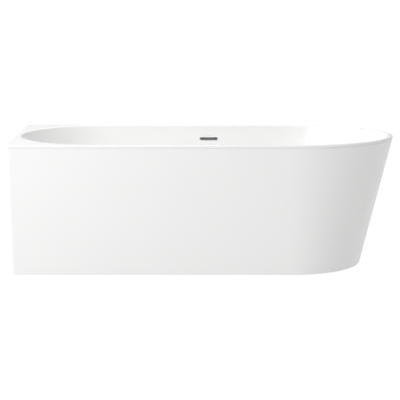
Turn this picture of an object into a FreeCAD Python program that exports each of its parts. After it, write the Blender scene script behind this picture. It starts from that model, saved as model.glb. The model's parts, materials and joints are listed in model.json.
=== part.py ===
import FreeCAD, Part
import math
import os
import Sketcher

# A bathtub for a corner of a room: straight against two walls, with a rounded end that flares outwards.
# X runs along the bath from the head wall to the rounded end, Y from the room to the long wall, Z up.
# The origin is on the floor, under the middle of the rim's length and depth. All sizes are millimetres.

Vector = FreeCAD.Vector
UP = Vector(0, 0, 1)
REACH = 3000.0  # longer than anything here, for cuts that run right through
NEAR = 0.01  # closer than this counts as the same level
TOUCH = 0.001  # overlap that joins two shapes without showing
doc = FreeCAD.newDocument("bathtub")

# ---------------------------------------------------------------------------------------------------
# Driving dimensions
# ---------------------------------------------------------------------------------------------------
DIMENSIONS = (
    ("tub_length", 1700, "head wall to the tip of the rounded end, at the rim"),
    ("tub_depth", 750, "room side to the long wall, at the rim"),
    ("tub_height", 580, "floor to the top of the rim"),
    ("rim_width", 20, "rim between its outer edge and the basin"),
    ("rim_corner", 10, "plan radius of the rim's two square corners"),
    ("rim_round", 4, "rounding of the rim's outer top edge"),
    ("lip_height", 12, "downturned lip of the rim"),
    ("lip_thickness", 7, "lip, from its outer face inwards"),
    ("nose_front", 465, "length of the rounding on the room side of the rounded end"),
    ("nose_rear", 560, "length of the rounding on the wall side of the rounded end"),
    ("acrylic", 4, "acrylic sheet of the bath"),
    ("backing", 4, "glass fibre laid up behind the acrylic"),
    ("basin_depth", 420, "rim top to the basin's floor"),
    ("side_lean", 75, "how far each long side leans in over the basin's depth"),
    ("head_lean", 160, "how far the head end leans in over the basin's depth"),
    ("nose_lean", 220, "how far the rounded end leans in over the basin's depth"),
    ("floor_round", 100, "radius between the basin's floor and its walls"),
    ("opening_round", 6, "rounding of the rim into the basin"),
    ("apron_wall", 5, "thickness of the apron"),
    ("apron_recess", 1.2, "apron's face behind the lip's face"),
    ("apron_gap", 4, "floor to the apron's lower edge"),
    ("apron_lean", 39, "how far the apron's front leans in towards the floor"),
    ("apron_inset", 137, "how far the rounded end leans in towards the floor"),
    ("apron_draft", 6, "how far the apron's head end leans in towards the floor"),
    ("apron_return", 35, "strip of apron that turns the corner at the head wall, at its foot"),
    ("apron_tail", 30, "strip of apron that runs on along the long wall"),
    ("apron_toe", 18, "radius of the apron's lower corner at the head wall"),
    ("bead_height", 1.5, "adhesive bead between the apron and the lip"),
    ("bead_width", 3, "adhesive bead, front to back"),
    ("bead_setback", 1.5, "adhesive bead's face behind the apron's face"),
    ("board_thickness", 16, "base board under the basin"),
    ("board_margin", 12, "base board inside the flat of the basin's floor"),
    ("board_cutout", 65, "radius of the base board's opening round the waste"),
    ("rail_size", 25, "square steel tube of the cradle"),
    ("rail_wall", 2, "wall of that tube"),
    ("head_rail_in", 420, "head wall to the cross rail near it"),
    ("foot_rail_in", 450, "tip of the rounded end to the cross rail near it"),
    ("rail_reach", 335, "wall-side end of the cross rails"),
    ("cap_thickness", 2.5, "plastic caps on the ends of the rails"),
    ("foot_spread", 275, "feet to each side of the middle of the bath"),
    ("middle_foot", -130, "X of the foot under the middle"),
    ("rod_radius", 6, "threaded rod M12"),
    ("rod_clearance", 0.5, "rod to the hole through a rail"),
    ("rod_stand_up", 4, "rod above its upper nut"),
    ("rod_chamfer", 1, "at both ends of the rod"),
    ("thread_clearance", 0.05, "nut's bore to the rod"),
    ("nut_flats", 19, "across the flats of an M12 nut"),
    ("nut_height", 10, "M12 nut"),
    ("nut_gap", 0.1, "nut to the face that it tightens on"),
    ("pad_radius", 25, "foot pad"),
    ("pad_neck", 12, "foot pad's socket round the rod"),
    ("pad_height", 16, "foot pad with its socket"),
    ("pad_sole", 5, "foot pad's rim"),
    ("pad_edge", 1, "chamfer of its lower edge"),
    ("pad_slope", 3, "rise from its rim to its socket"),
    ("rod_seat", 4, "floor to the rod's lower end"),
    ("bridge_length", 120, "bridge over the middle foot, along the bath's depth"),
    ("bridge_width", 50, "the same, along the bath"),
    ("bridge_sheet", 3, "sheet steel of that bridge"),
    ("bridge_drop", 30, "board to the bridge's underside"),
    ("bridge_flange", 25, "bridge's screwed ends"),
    ("batten_height", 45, "timber batten inside the apron's front"),
    ("batten_depth", 18, "the same, front to back"),
    ("batten_head_gap", 20, "apron's return to the batten"),
    ("batten_rise", 4, "batten above the base board's underside"),
    ("glue_gap", 0.3, "adhesive film between the apron and what is glued to it"),
    ("ring_height", 15, "plywood rib inside the rounded end"),
    ("ring_width", 60, "the same, across"),
    ("ring_start", 40, "cross rail to where that rib starts"),
    ("nose_rail_lap", 22, "nose rail under the rib"),
    ("bracket_leg", 36, "angle brackets between rails and apron parts"),
    ("bracket_width", 20, "the same, across"),
    ("bracket_sheet", 2, "the same, sheet steel"),
    ("screw_radius", 2, "wood screws"),
    ("screw_head", 4, "radius of their heads"),
    ("screw_head_height", 2.2, "height of their heads"),
    ("screw_length", 12, "screws into board, batten and rib"),
    ("screw_end", 18, "screw to the end of what it holds"),
    ("access_clearance", 1, "round a screw's head, in the hole that lets it into a rail"),
    ("anchor_width", 40, "wall anchors"),
    ("anchor_height", 60, "the same, below the lip"),
    ("anchor_sheet", 3, "the same, sheet steel"),
    ("anchor_hook", 10, "the same, shelf under the lip"),
    ("anchor_hole", 3.5, "radius of the wall anchors' screw hole"),
    ("anchor_hole_drop", 38, "lip to that hole"),
    ("head_anchor", -500, "X of the wall anchor nearer the head end"),
    ("mid_anchor", 180, "X of the wall anchor nearer the rounded end"),
    ("drain_x", 20, "X of the waste and of the overflow"),
    ("drain_hole", 26, "radius of the hole in the basin's floor"),
    ("flange_radius", 35, "waste flange"),
    ("flange_thickness", 2.5, "waste flange at its rim"),
    ("flange_bevel", 2, "slope at the waste flange's edge"),
    ("flange_dish", 1, "fall of the waste flange towards its bore"),
    ("flange_tube", 23, "outer radius of the waste flange's threaded tube"),
    ("flange_bore", 20, "its bore"),
    ("flange_tube_length", 34, "its length below the flange"),
    ("seal_thickness", 2, "flat rubber seals"),
    ("seal_margin", 1, "flat seals inside the edge of what they seal"),
    ("joint_clearance", 0.25, "between parts that are screwed or pushed together"),
    ("cap_radius", 31, "click plug"),
    ("cap_dome", 5, "height of the click plug"),
    ("cap_rise", 9, "basin side of the flange to the plug when it is open"),
    ("cap_travel", 8, "how far the plug is pressed down to shut"),
    ("cap_seal_radius", 27, "seat of the rubber ring under the plug"),
    ("cap_seal_width", 4, "that ring, across its section"),
    ("cap_seal_thickness", 1, "the same, height"),
    ("cap_rim", 1.5, "upright edge of the plug"),
    ("cap_shoulder", 3, "width and height of the curve above that edge"),
    ("cap_crown_share", 0.6, "radius of the dome's flatter middle, as a share of the plug's"),
    ("cap_crown_drop", 0.8, "top of the dome to the edge of that middle"),
    ("stem_radius", 3, "plug's stem"),
    ("stem_clearance", 0.08, "stem in its guide"),
    ("guide_radius", 7, "guide that holds the stem"),
    ("guide_length", 22, "the same"),
    ("spoke_width", 4, "spokes that hold the guide in the tube"),
    ("spoke_height", 5, "the same"),
    ("spoke_lift", 2, "tube's lower end to the spokes"),
    ("guide_drop", 20, "waste flange to the top of the guide"),
    ("stem_short", 1, "guide's lower end to the stem's when the plug is shut"),
    ("merge", 1, "how far joined shapes run into each other"),
    ("body_radius", 31, "waste body"),
    ("body_wall", 3, "waste body's wall"),
    ("body_flange_radius", 38, "waste body's flange under the basin"),
    ("body_flange", 6, "the same, thickness"),
    ("body_neck", 9, "waste body's narrow neck below its flange"),
    ("body_height", 52, "waste body down to its floor"),
    ("spigot_step", 2, "waste body's outlet, wider than the trap's tube all round"),
    ("spigot_wall", 4, "the same, wall"),
    ("spigot_length", 14, "the same"),
    ("port_radius", 13, "inner radius of the tube's port for the overflow hose"),
    ("port_sink", 1.5, "start of the side port inside the body's outside"),
    ("port_wall", 2.5, "the same, wall"),
    ("port_reach", 60, "waste's middle to the port's end"),
    ("port_above_floor", 15, "port's middle above the waste body's floor"),
    ("hose_radius", 13.5, "overflow hose"),
    ("hose_wall", 1.8, "the same, wall"),
    ("hose_from_wall", 3.5, "long wall to the hose"),
    ("hose_share", 0.45, "bend radius as a share of the hose's shorter run"),
    ("hose_nut_wall", 3.2, "nut at the hose's lower end"),
    ("hose_collar_wall", 2.6, "nut at the hose's upper end"),
    ("hose_room", 3.8214, "clear in front of the hose at the overflow box's floor"),
    ("hose_nut_length", 24, "the same"),
    ("hose_nut_lap", 14, "the same, on the port"),
    ("slot_drop", 65, "rim to the middle of the overflow slot"),
    ("slot_length", 84, "overflow slot in the bath's wall"),
    ("slot_height", 12, "the same"),
    ("trim_wall", 2.2, "frame in the overflow slot"),
    ("trim_lip", 1.6, "the same, lip on the bath's wall"),
    ("trim_lip_thickness", 1, "the same"),
    ("trim_reach", 14, "the same, depth through the wall"),
    ("box_length", 110, "overflow box behind the slot"),
    ("box_above", 20, "the same, above the slot's middle"),
    ("box_wall", 2, "the same, wall"),
    ("box_from_wall", 3, "long wall to the box"),
    ("box_spigot", 26, "overflow box's outlet, length"),
    ("trap_radius", 20, "trap's tube"),
    ("trap_wall", 2.4, "the same, wall"),
    ("trap_bend", 28, "trap's bends"),
    ("trap_bottom", 9, "floor to the trap's lowest point"),
    ("trap_weir", 88, "floor to the middle of the trap's outlet"),
    ("trap_reach", 130, "waste's middle to the end of the trap's outlet"),
    ("trap_socket", 4, "how far the trap's socket stands out round its tube"),
    ("trap_socket_length", 24, "the same, length"),
    ("trap_nut_wall", 5, "trap's nuts, round the socket"),
    ("trap_nut_length", 20, "the same, length"),
    ("trap_nut_end", 3, "the same, end wall"),
    ("trap_nut_clear", 1, "waste body's floor to the upper nut"),
    ("trap_easing", 0.028, "trap's bends tighter than half the distance between its legs"),
    ("pipe_radius", 20, "waste pipe that the trap's outlet takes"),
)
sheet = doc.addObject("Spreadsheet::Sheet", "sizes")
for row, (alias, value, meaning) in enumerate(DIMENSIONS, start=1):
    sheet.set("A%d" % row, meaning)
    sheet.set("B%d" % row, str(value))
    sheet.setAlias("B%d" % row, alias)
doc.recompute()

# Levels and places that several pieces share, as expressions on the sheet
HALF_LENGTH = "(sizes.tub_length / 2)"
HALF_DEPTH = "(sizes.tub_depth / 2)"
LIP_BOTTOM = "(sizes.tub_height - sizes.lip_height)"
APRON_TOP = "(%s - sizes.bead_height)" % LIP_BOTTOM
FLOOR_TOP = "(sizes.tub_height - sizes.basin_depth)"
BOARD_TOP = "(%s - sizes.acrylic - sizes.backing)" % FLOOR_TOP
BOARD_BOTTOM = "(%s - sizes.board_thickness)" % BOARD_TOP
RAIL_BOTTOM = "(%s - sizes.rail_size)" % BOARD_BOTTOM
RAIL_HALF = "(sizes.rail_size / 2)"
HEAD_RAIL = "(sizes.head_rail_in - %s)" % HALF_LENGTH
FOOT_RAIL = "(%s - sizes.foot_rail_in)" % HALF_LENGTH
FLANGE_BOTTOM = "(%s + sizes.seal_thickness)" % FLOOR_TOP
FLANGE_TOP = "(%s + sizes.flange_thickness)" % FLANGE_BOTTOM
BODY_TOP = "(%s - sizes.seal_thickness)" % BOARD_TOP
BODY_FLOOR = "(%s - sizes.body_height)" % BODY_TOP
SPIGOT_END = "(%s - sizes.spigot_length)" % BODY_FLOOR
PORT_LEVEL = "(%s + sizes.port_above_floor)" % BODY_FLOOR
HOSE_Y = "(%s - sizes.hose_from_wall - sizes.hose_radius)" % HALF_DEPTH
HOSE_DEEP = "(sizes.hose_from_wall + 2 * sizes.hose_radius + sizes.hose_room)"
BOX_LEAN = "(%s + sizes.acrylic + sizes.backing - sizes.rim_width)" % HOSE_DEEP
BOX_BOTTOM = "(sizes.tub_height - %s * sizes.basin_depth / sizes.side_lean)" % BOX_LEAN
HOSE_TOP = "(%s - sizes.box_spigot)" % BOX_BOTTOM
BRIDGE_BOTTOM = "(%s - sizes.bridge_drop)" % BOARD_BOTTOM
TRAP_TOP = "(%s - sizes.seal_thickness)" % SPIGOT_END
SPIGOT = "(sizes.trap_radius + sizes.spigot_step)"
SPIGOT_BORE = "(%s - sizes.spigot_wall)" % SPIGOT


def number(expression):
    """What an expression on the sheet comes to."""
    return float(sheet.evalExpression(str(expression)))


def size(alias):
    """One driving dimension."""
    return float(getattr(sheet, alias))


# ---------------------------------------------------------------------------------------------------
# Tools for the document
# ---------------------------------------------------------------------------------------------------
PIECES = []


def place(thing, across=0, along=0, up=0):
    """Tie an object's position to expressions."""
    for axis, expression in (("x", across), ("y", along), ("z", up)):
        thing.setExpression("Placement.Base." + axis, str(expression))


def piece(thing, label):
    """Name an object as one of the bath's pieces."""
    thing.Label = label
    PIECES.append(thing)
    return thing


def new_body(label):
    return piece(doc.addObject("PartDesign::Body", label), label)


def plane_of(body, role):
    """One of the body's own origin planes."""
    return [face for face in body.Origin.OriginFeatures if face.Role == role][0]


def pin(sketch, edge, vertex, across, up):
    """Tie a sketch point to two expressions."""
    for kind, expression in (("DistanceX", across), ("DistanceY", up)):
        constraint = Sketcher.Constraint(kind, -1, 1, edge, vertex, number(expression))
        index = sketch.addConstraint(constraint)
        sketch.setExpression("Constraints[%d]" % index, str(expression))


def draw(body, role, corners, circles=(), lift=0):
    """A sketch with a straight-sided outline through corners, and circles of (across, up, radius)."""
    sketch = body.newObject("Sketcher::SketchObject", body.Name + "_sketch")
    sketch.AttachmentSupport = [(plane_of(body, role), "")]
    sketch.MapMode = "FlatFace"
    sketch.setExpression("AttachmentOffset.Base.z", str(lift))
    points = [Vector(number(across), number(up), 0) for across, up in corners]
    for index, start in enumerate(points):
        sketch.addGeometry(Part.LineSegment(start, points[(index + 1) % len(points)]))
    for index in range(len(points)):
        sketch.addConstraint(Sketcher.Constraint("Coincident", index, 2, (index + 1) % len(points), 1))
    for index, (across, up) in enumerate(corners):
        pin(sketch, index, 1, across, up)
    for across, up, radius in circles:
        centre = Vector(number(across), number(up), 0)
        edge = sketch.addGeometry(Part.Circle(centre, UP, number(radius)))
        pin(sketch, edge, 3, across, up)
        index = sketch.addConstraint(Sketcher.Constraint("Radius", edge, number(radius)))
        sketch.setExpression("Constraints[%d]" % index, str(radius))
    return sketch


def pad(body, sketch, length, symmetric=False, backwards=False):
    feature = body.newObject("PartDesign::Pad", body.Name + "_pad")
    feature.Profile = sketch
    feature.setExpression("Length", str(length))
    feature.SideType = "Symmetric" if symmetric else "One side"
    feature.Reversed = backwards


def pocket(body, sketch, length):
    """Cut a sketch through the body, half of the length to each side of the sketch."""
    doc.recompute()
    before = body.Shape.Volume
    feature = body.newObject("PartDesign::Pocket", body.Name + "_pocket")
    feature.Profile = sketch
    feature.setExpression("Length", str(length))
    feature.SideType = "Symmetric"
    doc.recompute()
    if body.Shape.Volume > before - 1:
        raise RuntimeError(body.Label + ": a pocket removed nothing")


def revolve(label, corners, axis="Z"):
    """A body turned about X, Y or Z from corners of (radius, distance along the axis)."""
    body = new_body(label)
    if axis == "Z":
        sketch = draw(body, "XZ_Plane", corners)
    else:
        role = {"X": "XZ_Plane", "Y": "YZ_Plane"}[axis]
        sketch = draw(body, role, [(along, radius) for radius, along in corners])
    feature = body.newObject("PartDesign::Revolution", label + "_revolution")
    feature.Profile = sketch
    feature.ReferenceAxis = (sketch, ["V_Axis" if axis == "Z" else "H_Axis"])
    feature.Angle = 360
    return body


def ring(label, inner, outer, bottom, top, axis="Z"):
    """A plain ring, as a turned body."""
    return revolve(label, [(inner, bottom), (outer, bottom), (outer, top), (inner, top)], axis)


def prism(label, role, corners, length, symmetric=True):
    body = new_body(label)
    pad(body, draw(body, role, corners), length, symmetric)
    return body


def rectangle(left, bottom, right, top):
    return [(left, bottom), (right, bottom), (right, top), (left, top)]


def block(left, front, bottom, right, rear, top):
    """A box between two corners, as a plain shape."""
    return Part.makeBox(right - left, rear - front, top - bottom, Vector(left, front, bottom))


def shaped(label, shape):
    """A piece whose curved shape Part's own functions make."""
    feature = doc.addObject("Part::Feature", label)
    feature.Shape = shape
    feature.Placement = FreeCAD.Placement()
    return piece(feature, label)


# ---------------------------------------------------------------------------------------------------
# Outlines of the rim, the basin and the apron
# ---------------------------------------------------------------------------------------------------
def quarter(start, corner, end):
    """A quarter of an ellipse, tangent to both sides of the corner."""
    curve = Part.BSplineCurve()
    weights = [1, math.sqrt(0.5), 1]
    curve.buildFromPolesMultsKnots([start, corner, end], [3, 3], [0, 1], False, 2, weights)
    return curve.toShape()


def straight(start, end):
    return Part.LineSegment(start, end).toShape()


def square_ended_outline(head, tip, front, rear, corner, level, square_rear):
    """The bath's plan, anticlockwise from the head wall: two square corners there, and a round end."""
    front_start = size("tub_length") / 2 - size("nose_front")
    rear_start = size("tub_length") / 2 - size("nose_rear")
    rear_corner = corner if square_rear else 0

    def at(across, along):
        return Vector(across, along, level)

    edges = [
        straight(at(head, rear - rear_corner), at(head, front + corner)),
        quarter(at(head, front + corner), at(head, front), at(head + corner, front)),
        straight(at(head + corner, front), at(front_start, front)),
        quarter(at(front_start, front), at(tip, front), at(tip, 0)),
        quarter(at(tip, 0), at(tip, rear), at(rear_start, rear)),
        straight(at(rear_start, rear), at(head + rear_corner, rear)),
    ]
    if square_rear:
        edges.append(quarter(at(head + corner, rear), at(head, rear), at(head, rear - corner)))
    return Part.Wire(edges)


def rim_outline(level, inset):
    reach = size("tub_length") / 2 - inset
    side = size("tub_depth") / 2 - inset
    return square_ended_outline(-reach, reach, -side, side, size("rim_corner") - inset, level, True)


def apron_outline(level, inset):
    """The apron's face at a level, moved inwards by inset."""
    lean = (number(APRON_TOP) - level) / (number(APRON_TOP) - size("apron_gap"))
    reach = size("tub_length") / 2 - size("apron_recess") - inset
    side = size("tub_depth") / 2 - size("apron_recess") - inset
    return square_ended_outline(
        -reach + size("apron_draft") * lean,
        reach - size("apron_inset") * lean,
        -side + size("apron_lean") * lean,
        side,
        size("rim_corner"),
        level,
        False,
    )


def basin_outline(drop, grow):
    """The basin's inside at a drop below the rim, moved outwards by grow."""
    lean = drop / size("basin_depth")
    half = size("tub_depth") / 2 - size("rim_width") - size("side_lean") * lean + grow
    head = -size("tub_length") / 2 + size("rim_width") + size("head_lean") * lean - grow
    tip = size("tub_length") / 2 - size("rim_width") - size("nose_lean") * lean + grow
    head_middle = head + half
    front_start = size("tub_length") / 2 - size("nose_front")
    rear_start = size("tub_length") / 2 - size("nose_rear")
    level = size("tub_height") - drop

    def at(across, along):
        return Vector(across, along, level)

    return Part.Wire(
        [
            quarter(at(head, 0), at(head, -half), at(head_middle, -half)),
            straight(at(head_middle, -half), at(front_start, -half)),
            quarter(at(front_start, -half), at(tip, -half), at(tip, 0)),
            quarter(at(tip, 0), at(tip, half), at(rear_start, half)),
            straight(at(rear_start, half), at(head_middle, half)),
            quarter(at(head_middle, half), at(head, half), at(head, 0)),
        ]
    )


def between(lower, upper):
    """The solid between two outlines."""
    return Part.makeLoft([lower, upper], True, True)


def slab(outline, height):
    return Part.Face(outline).extrude(Vector(0, 0, height))


def basin(grow, top_drop):
    """The basin's inside, grown outwards by grow, from the drop at its top down to its rounded floor."""
    floor_drop = size("basin_depth") + grow
    solid = between(basin_outline(floor_drop, grow), basin_outline(top_drop, grow))
    floor_level = size("tub_height") - floor_drop
    edges = [edge for edge in solid.Edges if abs(edge.BoundBox.ZMax - floor_level) < NEAR]
    return solid.makeFillet(size("floor_round") + grow, edges)


def slot_prism(length, height, front, rear):
    """A slot with round ends through the long wall, centred on the overflow."""
    radius = height / 2
    middle = Vector(size("drain_x"), front, size("tub_height") - size("slot_drop"))
    half = length / 2 - radius
    deep = rear - front
    bar = block(
        middle.x - half, front, middle.z - radius, middle.x + half, rear, middle.z + radius
    )
    ends = [
        Part.makeCylinder(radius, deep, middle + Vector(side * half, 0, 0), Vector(0, 1, 0))
        for side in (-1, 1)
    ]
    return bar.fuse(ends)


def wall_outside(level):
    """Y of the outer face of the basin's wall-side wall at a level, as an expression."""
    lean = "sizes.side_lean * (sizes.tub_height - (%s)) / sizes.basin_depth" % level
    return "(%s - sizes.rim_width - %s + sizes.acrylic + sizes.backing)" % (HALF_DEPTH, lean)


def drain_bore(radius):
    """A round bore through the basin's floor."""
    start = Vector(size("drain_x"), 0, 0)
    return Part.makeCylinder(radius, size("tub_height"), start)


# ---------------------------------------------------------------------------------------------------
# The bath and its glass fibre backing
# ---------------------------------------------------------------------------------------------------
def is_opening(edge):
    """Whether an edge at the rim's top belongs to the basin's opening, not to the rim's outside."""
    opening = Part.Face(basin_outline(0, size("merge")))
    middle = edge.valueAt((edge.FirstParameter + edge.LastParameter) / 2)
    return all(opening.isInside(point, size("merge"), True) for point in (edge.CenterOfMass, middle))


def bath_shell():
    top = size("tub_height")
    lip_bottom = number(LIP_BOTTOM)
    blank = slab(rim_outline(lip_bottom, 0), size("lip_height"))
    rim = blank.makeFillet(
        size("rim_round"), [edge for edge in blank.Edges if edge.BoundBox.ZMin > top - NEAR]
    )
    under = slab(rim_outline(lip_bottom, size("lip_thickness")), size("lip_height") - size("acrylic"))
    shell = rim.cut(under).fuse(basin(size("acrylic"), size("acrylic") / 2))
    above = size("opening_round") * 2
    shell = shell.cut(basin(0, -above)).removeSplitter()
    opening = [edge for edge in shell.Edges if edge.BoundBox.ZMin > top - NEAR and is_opening(edge)]
    shell = shell.makeFillet(size("opening_round"), opening)
    shell = shell.cut(slot_prism(size("slot_length"), size("slot_height"), 0, REACH))
    return shell.cut(drain_bore(size("drain_hole")))


def fibreglass_backing():
    lip_bottom = number(LIP_BOTTOM)
    acrylic = size("acrylic")
    both = acrylic + size("backing")
    inset = size("lip_thickness") + size("joint_clearance")
    deck = slab(rim_outline(size("tub_height") - both, inset), size("backing"))
    backing = deck.fuse(basin(both, size("lip_height") / 2)).cut(basin(acrylic, -size("lip_height")))
    over = block(-REACH, -REACH, size("tub_height") - acrylic, REACH, REACH, REACH)
    backing = backing.cut(over)
    backing = backing.cut(slot_prism(size("slot_length"), size("slot_height"), 0, REACH))
    return backing.cut(drain_bore(size("drain_hole")))


shaped("bath_shell", bath_shell())
shaped("fibreglass_backing", fibreglass_backing())


# ---------------------------------------------------------------------------------------------------
# Apron, its bead, and the timber glued inside it
# ---------------------------------------------------------------------------------------------------
def return_end():
    """How far behind the rim's front the apron's strip along the head wall ends."""
    return size("apron_lean") + size("apron_return")


def wall_sides():
    """What the apron leaves out: the long wall's side, and the head wall's side past its return."""
    head = -size("tub_length") / 2
    front = -size("tub_depth") / 2
    rear = size("tub_depth") / 2
    tail = size("tub_length") / 2 - size("nose_rear") - size("apron_tail")
    deep = size("apron_wall") + size("apron_recess") + size("rim_corner")
    long_side = block(-REACH, rear - deep, -REACH, tail, REACH, REACH)
    past_head = head + deep + size("apron_draft")
    head_side = block(-REACH, front + return_end(), -REACH, past_head, REACH, REACH)
    return [long_side, head_side]


def apron():
    low = size("apron_gap")
    high = number(APRON_TOP)
    wall = size("apron_wall")
    skirt = between(apron_outline(low, 0), apron_outline(high, 0))
    skirt = skirt.cut(between(apron_outline(low - wall, wall), apron_outline(high + wall, wall)))
    skirt = skirt.cut(wall_sides())
    toe = size("apron_toe")
    corner = -size("tub_length") / 2 + size("apron_recess") + size("apron_draft")
    front = -size("tub_depth") / 2
    past = size("merge")
    past_return = front + return_end() + past
    square = block(corner - toe, front, low - past, corner + toe, past_return, low + toe)
    pivot = Vector(corner + toe, front - past, low + toe)
    round_corner = Part.makeCylinder(toe, past_return - front + 2 * past, pivot, Vector(0, 1, 0))
    return skirt.cut(square.cut(round_corner))


def apron_bead():
    setback = size("bead_setback")
    level = number(APRON_TOP)
    outer = slab(apron_outline(level, setback), size("bead_height"))
    inner = slab(apron_outline(level, setback + size("bead_width")), size("bead_height"))
    return outer.cut(inner).cut(wall_sides())


def nose_rib():
    """Plywood rib that follows the inside of the rounded end, on the nose rail."""
    low = number(BOARD_BOTTOM)
    high = low + size("ring_height")
    gap = size("apron_wall") + size("glue_gap")
    outer = between(apron_outline(low, gap), apron_outline(high, gap))
    inner = slab(apron_outline(low, gap + size("ring_width")), size("ring_height"))
    start = number(FOOT_RAIL) + size("rail_size") / 2 + size("ring_start")
    return outer.cut(inner).cut(block(-REACH, -REACH, -REACH, start, REACH, REACH))


def base_board():
    """Board under the flat of the basin's floor, with an opening round the waste."""
    inset = size("floor_round") + size("board_margin")
    outline = basin_outline(size("basin_depth"), -inset)
    outline.translate(Vector(0, 0, number(BOARD_BOTTOM) - number(FLOOR_TOP)))
    return slab(outline, size("board_thickness")).cut(drain_bore(size("board_cutout")))


shaped("apron", apron())
shaped("apron_bead", apron_bead())
shaped("nose_rib", nose_rib())
shaped("base_board", base_board())


def apron_inside(level):
    """Y of the apron's inner face along its straight front, at a level, as an expression."""
    lean = "sizes.apron_lean * (%s - (%s)) / (%s - sizes.apron_gap)" % (APRON_TOP, level, APRON_TOP)
    return "(-%s + sizes.apron_recess + sizes.apron_wall + %s)" % (HALF_DEPTH, lean)


BATTEN_TOP = "(%s + sizes.batten_rise)" % BOARD_BOTTOM
BATTEN_BOTTOM = "(%s - sizes.batten_height)" % BATTEN_TOP
BATTEN_BACK = "(%s + sizes.glue_gap + sizes.batten_depth)" % apron_inside(BATTEN_BOTTOM)
APRON_HEAD = "(-%s + sizes.apron_recess + sizes.apron_draft + sizes.apron_wall)" % HALF_LENGTH
BATTEN_HEAD = "(%s + sizes.batten_head_gap)" % APRON_HEAD
BATTEN_TAIL = "(%s - sizes.nose_front)" % HALF_LENGTH
batten = prism(
    "front_batten",
    "YZ_Plane",
    [
        ("%s + sizes.glue_gap" % apron_inside(BATTEN_BOTTOM), BATTEN_BOTTOM),
        (BATTEN_BACK, BATTEN_BOTTOM),
        (BATTEN_BACK, BATTEN_TOP),
        ("%s + sizes.glue_gap" % apron_inside(BATTEN_TOP), BATTEN_TOP),
    ],
    "%s - %s" % (BATTEN_TAIL, BATTEN_HEAD),
    symmetric=False,
)
place(batten, across=BATTEN_HEAD)


# ---------------------------------------------------------------------------------------------------
# Steel cradle
# ---------------------------------------------------------------------------------------------------
def rail_square(inset):
    """A rail's section, or the same drawn in by an inset, hanging below the board."""
    half = "%s - (%s)" % (RAIL_HALF, inset)
    return rectangle(
        "-(%s)" % half, "%s + %s" % (RAIL_BOTTOM, inset), half, "%s - (%s)" % (BOARD_BOTTOM, inset)
    )


def square_tube(label, role, start, end):
    """A rail from start to end: along Y on the XZ plane, along X on the YZ plane."""
    outer = rail_square(0)
    inner = rail_square("sizes.rail_wall")
    body = new_body(label)
    lift = "-(%s)" % start if role == "XZ_Plane" else start
    outside = draw(body, role, outer, lift=lift)
    pad(body, outside, "%s - (%s)" % (end, start), backwards=role == "XZ_Plane")
    doc.recompute()
    middle = "((%s) + (%s)) / 2" % (start, end)
    bore = draw(body, role, inner, lift="-(%s)" % middle if role == "XZ_Plane" else middle)
    pocket(body, bore, "2 * (%s - (%s))" % (end, start))
    return body


CROSS_FRONT = "(%s + sizes.cap_thickness + sizes.joint_clearance)" % BATTEN_BACK
CROSS_REAR = "(sizes.rail_reach)"
for label, across in (("cross_rail_head", HEAD_RAIL), ("cross_rail_foot", FOOT_RAIL)):
    rail = square_tube(label, "XZ_Plane", CROSS_FRONT, CROSS_REAR)
    holes = rail.newObject("Sketcher::SketchObject", label + "_holes")
    holes.AttachmentSupport = [(plane_of(rail, "XY_Plane"), "")]
    holes.MapMode = "FlatFace"
    holes.setExpression("AttachmentOffset.Base.z", "%s + %s" % (RAIL_BOTTOM, RAIL_HALF))
    for side in (-1, 1):
        radius = "sizes.rod_radius + sizes.rod_clearance"
        centre = Vector(0, side * size("foot_spread"), 0)
        edge = holes.addGeometry(Part.Circle(centre, UP, number(radius)))
        pin(holes, edge, 3, 0, "%d * sizes.foot_spread" % side)
        index = holes.addConstraint(Sketcher.Constraint("Radius", edge, number(radius)))
        holes.setExpression("Constraints[%d]" % index, radius)
    pocket(rail, holes, "2 * sizes.rail_size")
    place(rail, across=across)

NOSE_RAIL_START = "(%s + %s + sizes.joint_clearance)" % (FOOT_RAIL, RAIL_HALF)
DROP_SHARE = "((%s - %s) / (%s - sizes.apron_gap))" % (APRON_TOP, BOARD_BOTTOM, APRON_TOP)
APRON_TIP = "(%s - sizes.apron_recess - sizes.apron_inset * %s)" % (HALF_LENGTH, DROP_SHARE)
RIB_TIP = "(%s - sizes.apron_wall - sizes.glue_gap)" % APRON_TIP
NOSE_RAIL_END = "(%s - sizes.ring_width + sizes.nose_rail_lap)" % RIB_TIP
square_tube("nose_rail", "YZ_Plane", NOSE_RAIL_START, NOSE_RAIL_END)


def compound(label, shapes):
    """Identical small pieces as one group."""
    group = doc.addObject("Part::Compound", label)
    group.Links = shapes
    return piece(group, label)


def part_box(name, left, front, bottom, across, along, high):
    box = doc.addObject("Part::Box", name)
    for prop, expression in (("Length", across), ("Width", along), ("Height", high)):
        box.setExpression(prop, str(expression))
    place(box, left, front, bottom)
    return box


def part_cylinder(name, radius, height, across, along, up):
    cylinder = doc.addObject("Part::Cylinder", name)
    cylinder.setExpression("Radius", str(radius))
    cylinder.setExpression("Height", str(height))
    place(cylinder, across, along, up)
    return cylinder


# Caps on the open ends of the rails
caps = []
for across in (HEAD_RAIL, FOOT_RAIL):
    for start in ("%s - sizes.cap_thickness" % CROSS_FRONT, CROSS_REAR):
        caps.append(
            part_box(
                "rail_cap",
                "%s - %s" % (across, RAIL_HALF),
                start,
                RAIL_BOTTOM,
                "sizes.rail_size",
                "sizes.cap_thickness",
                "sizes.rail_size",
            )
        )
caps.append(
    part_box(
        "rail_cap",
        NOSE_RAIL_END,
        "-%s" % RAIL_HALF,
        RAIL_BOTTOM,
        "sizes.cap_thickness",
        "sizes.rail_size",
        "sizes.rail_size",
    )
)
compound("rail_end_caps", caps)


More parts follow.
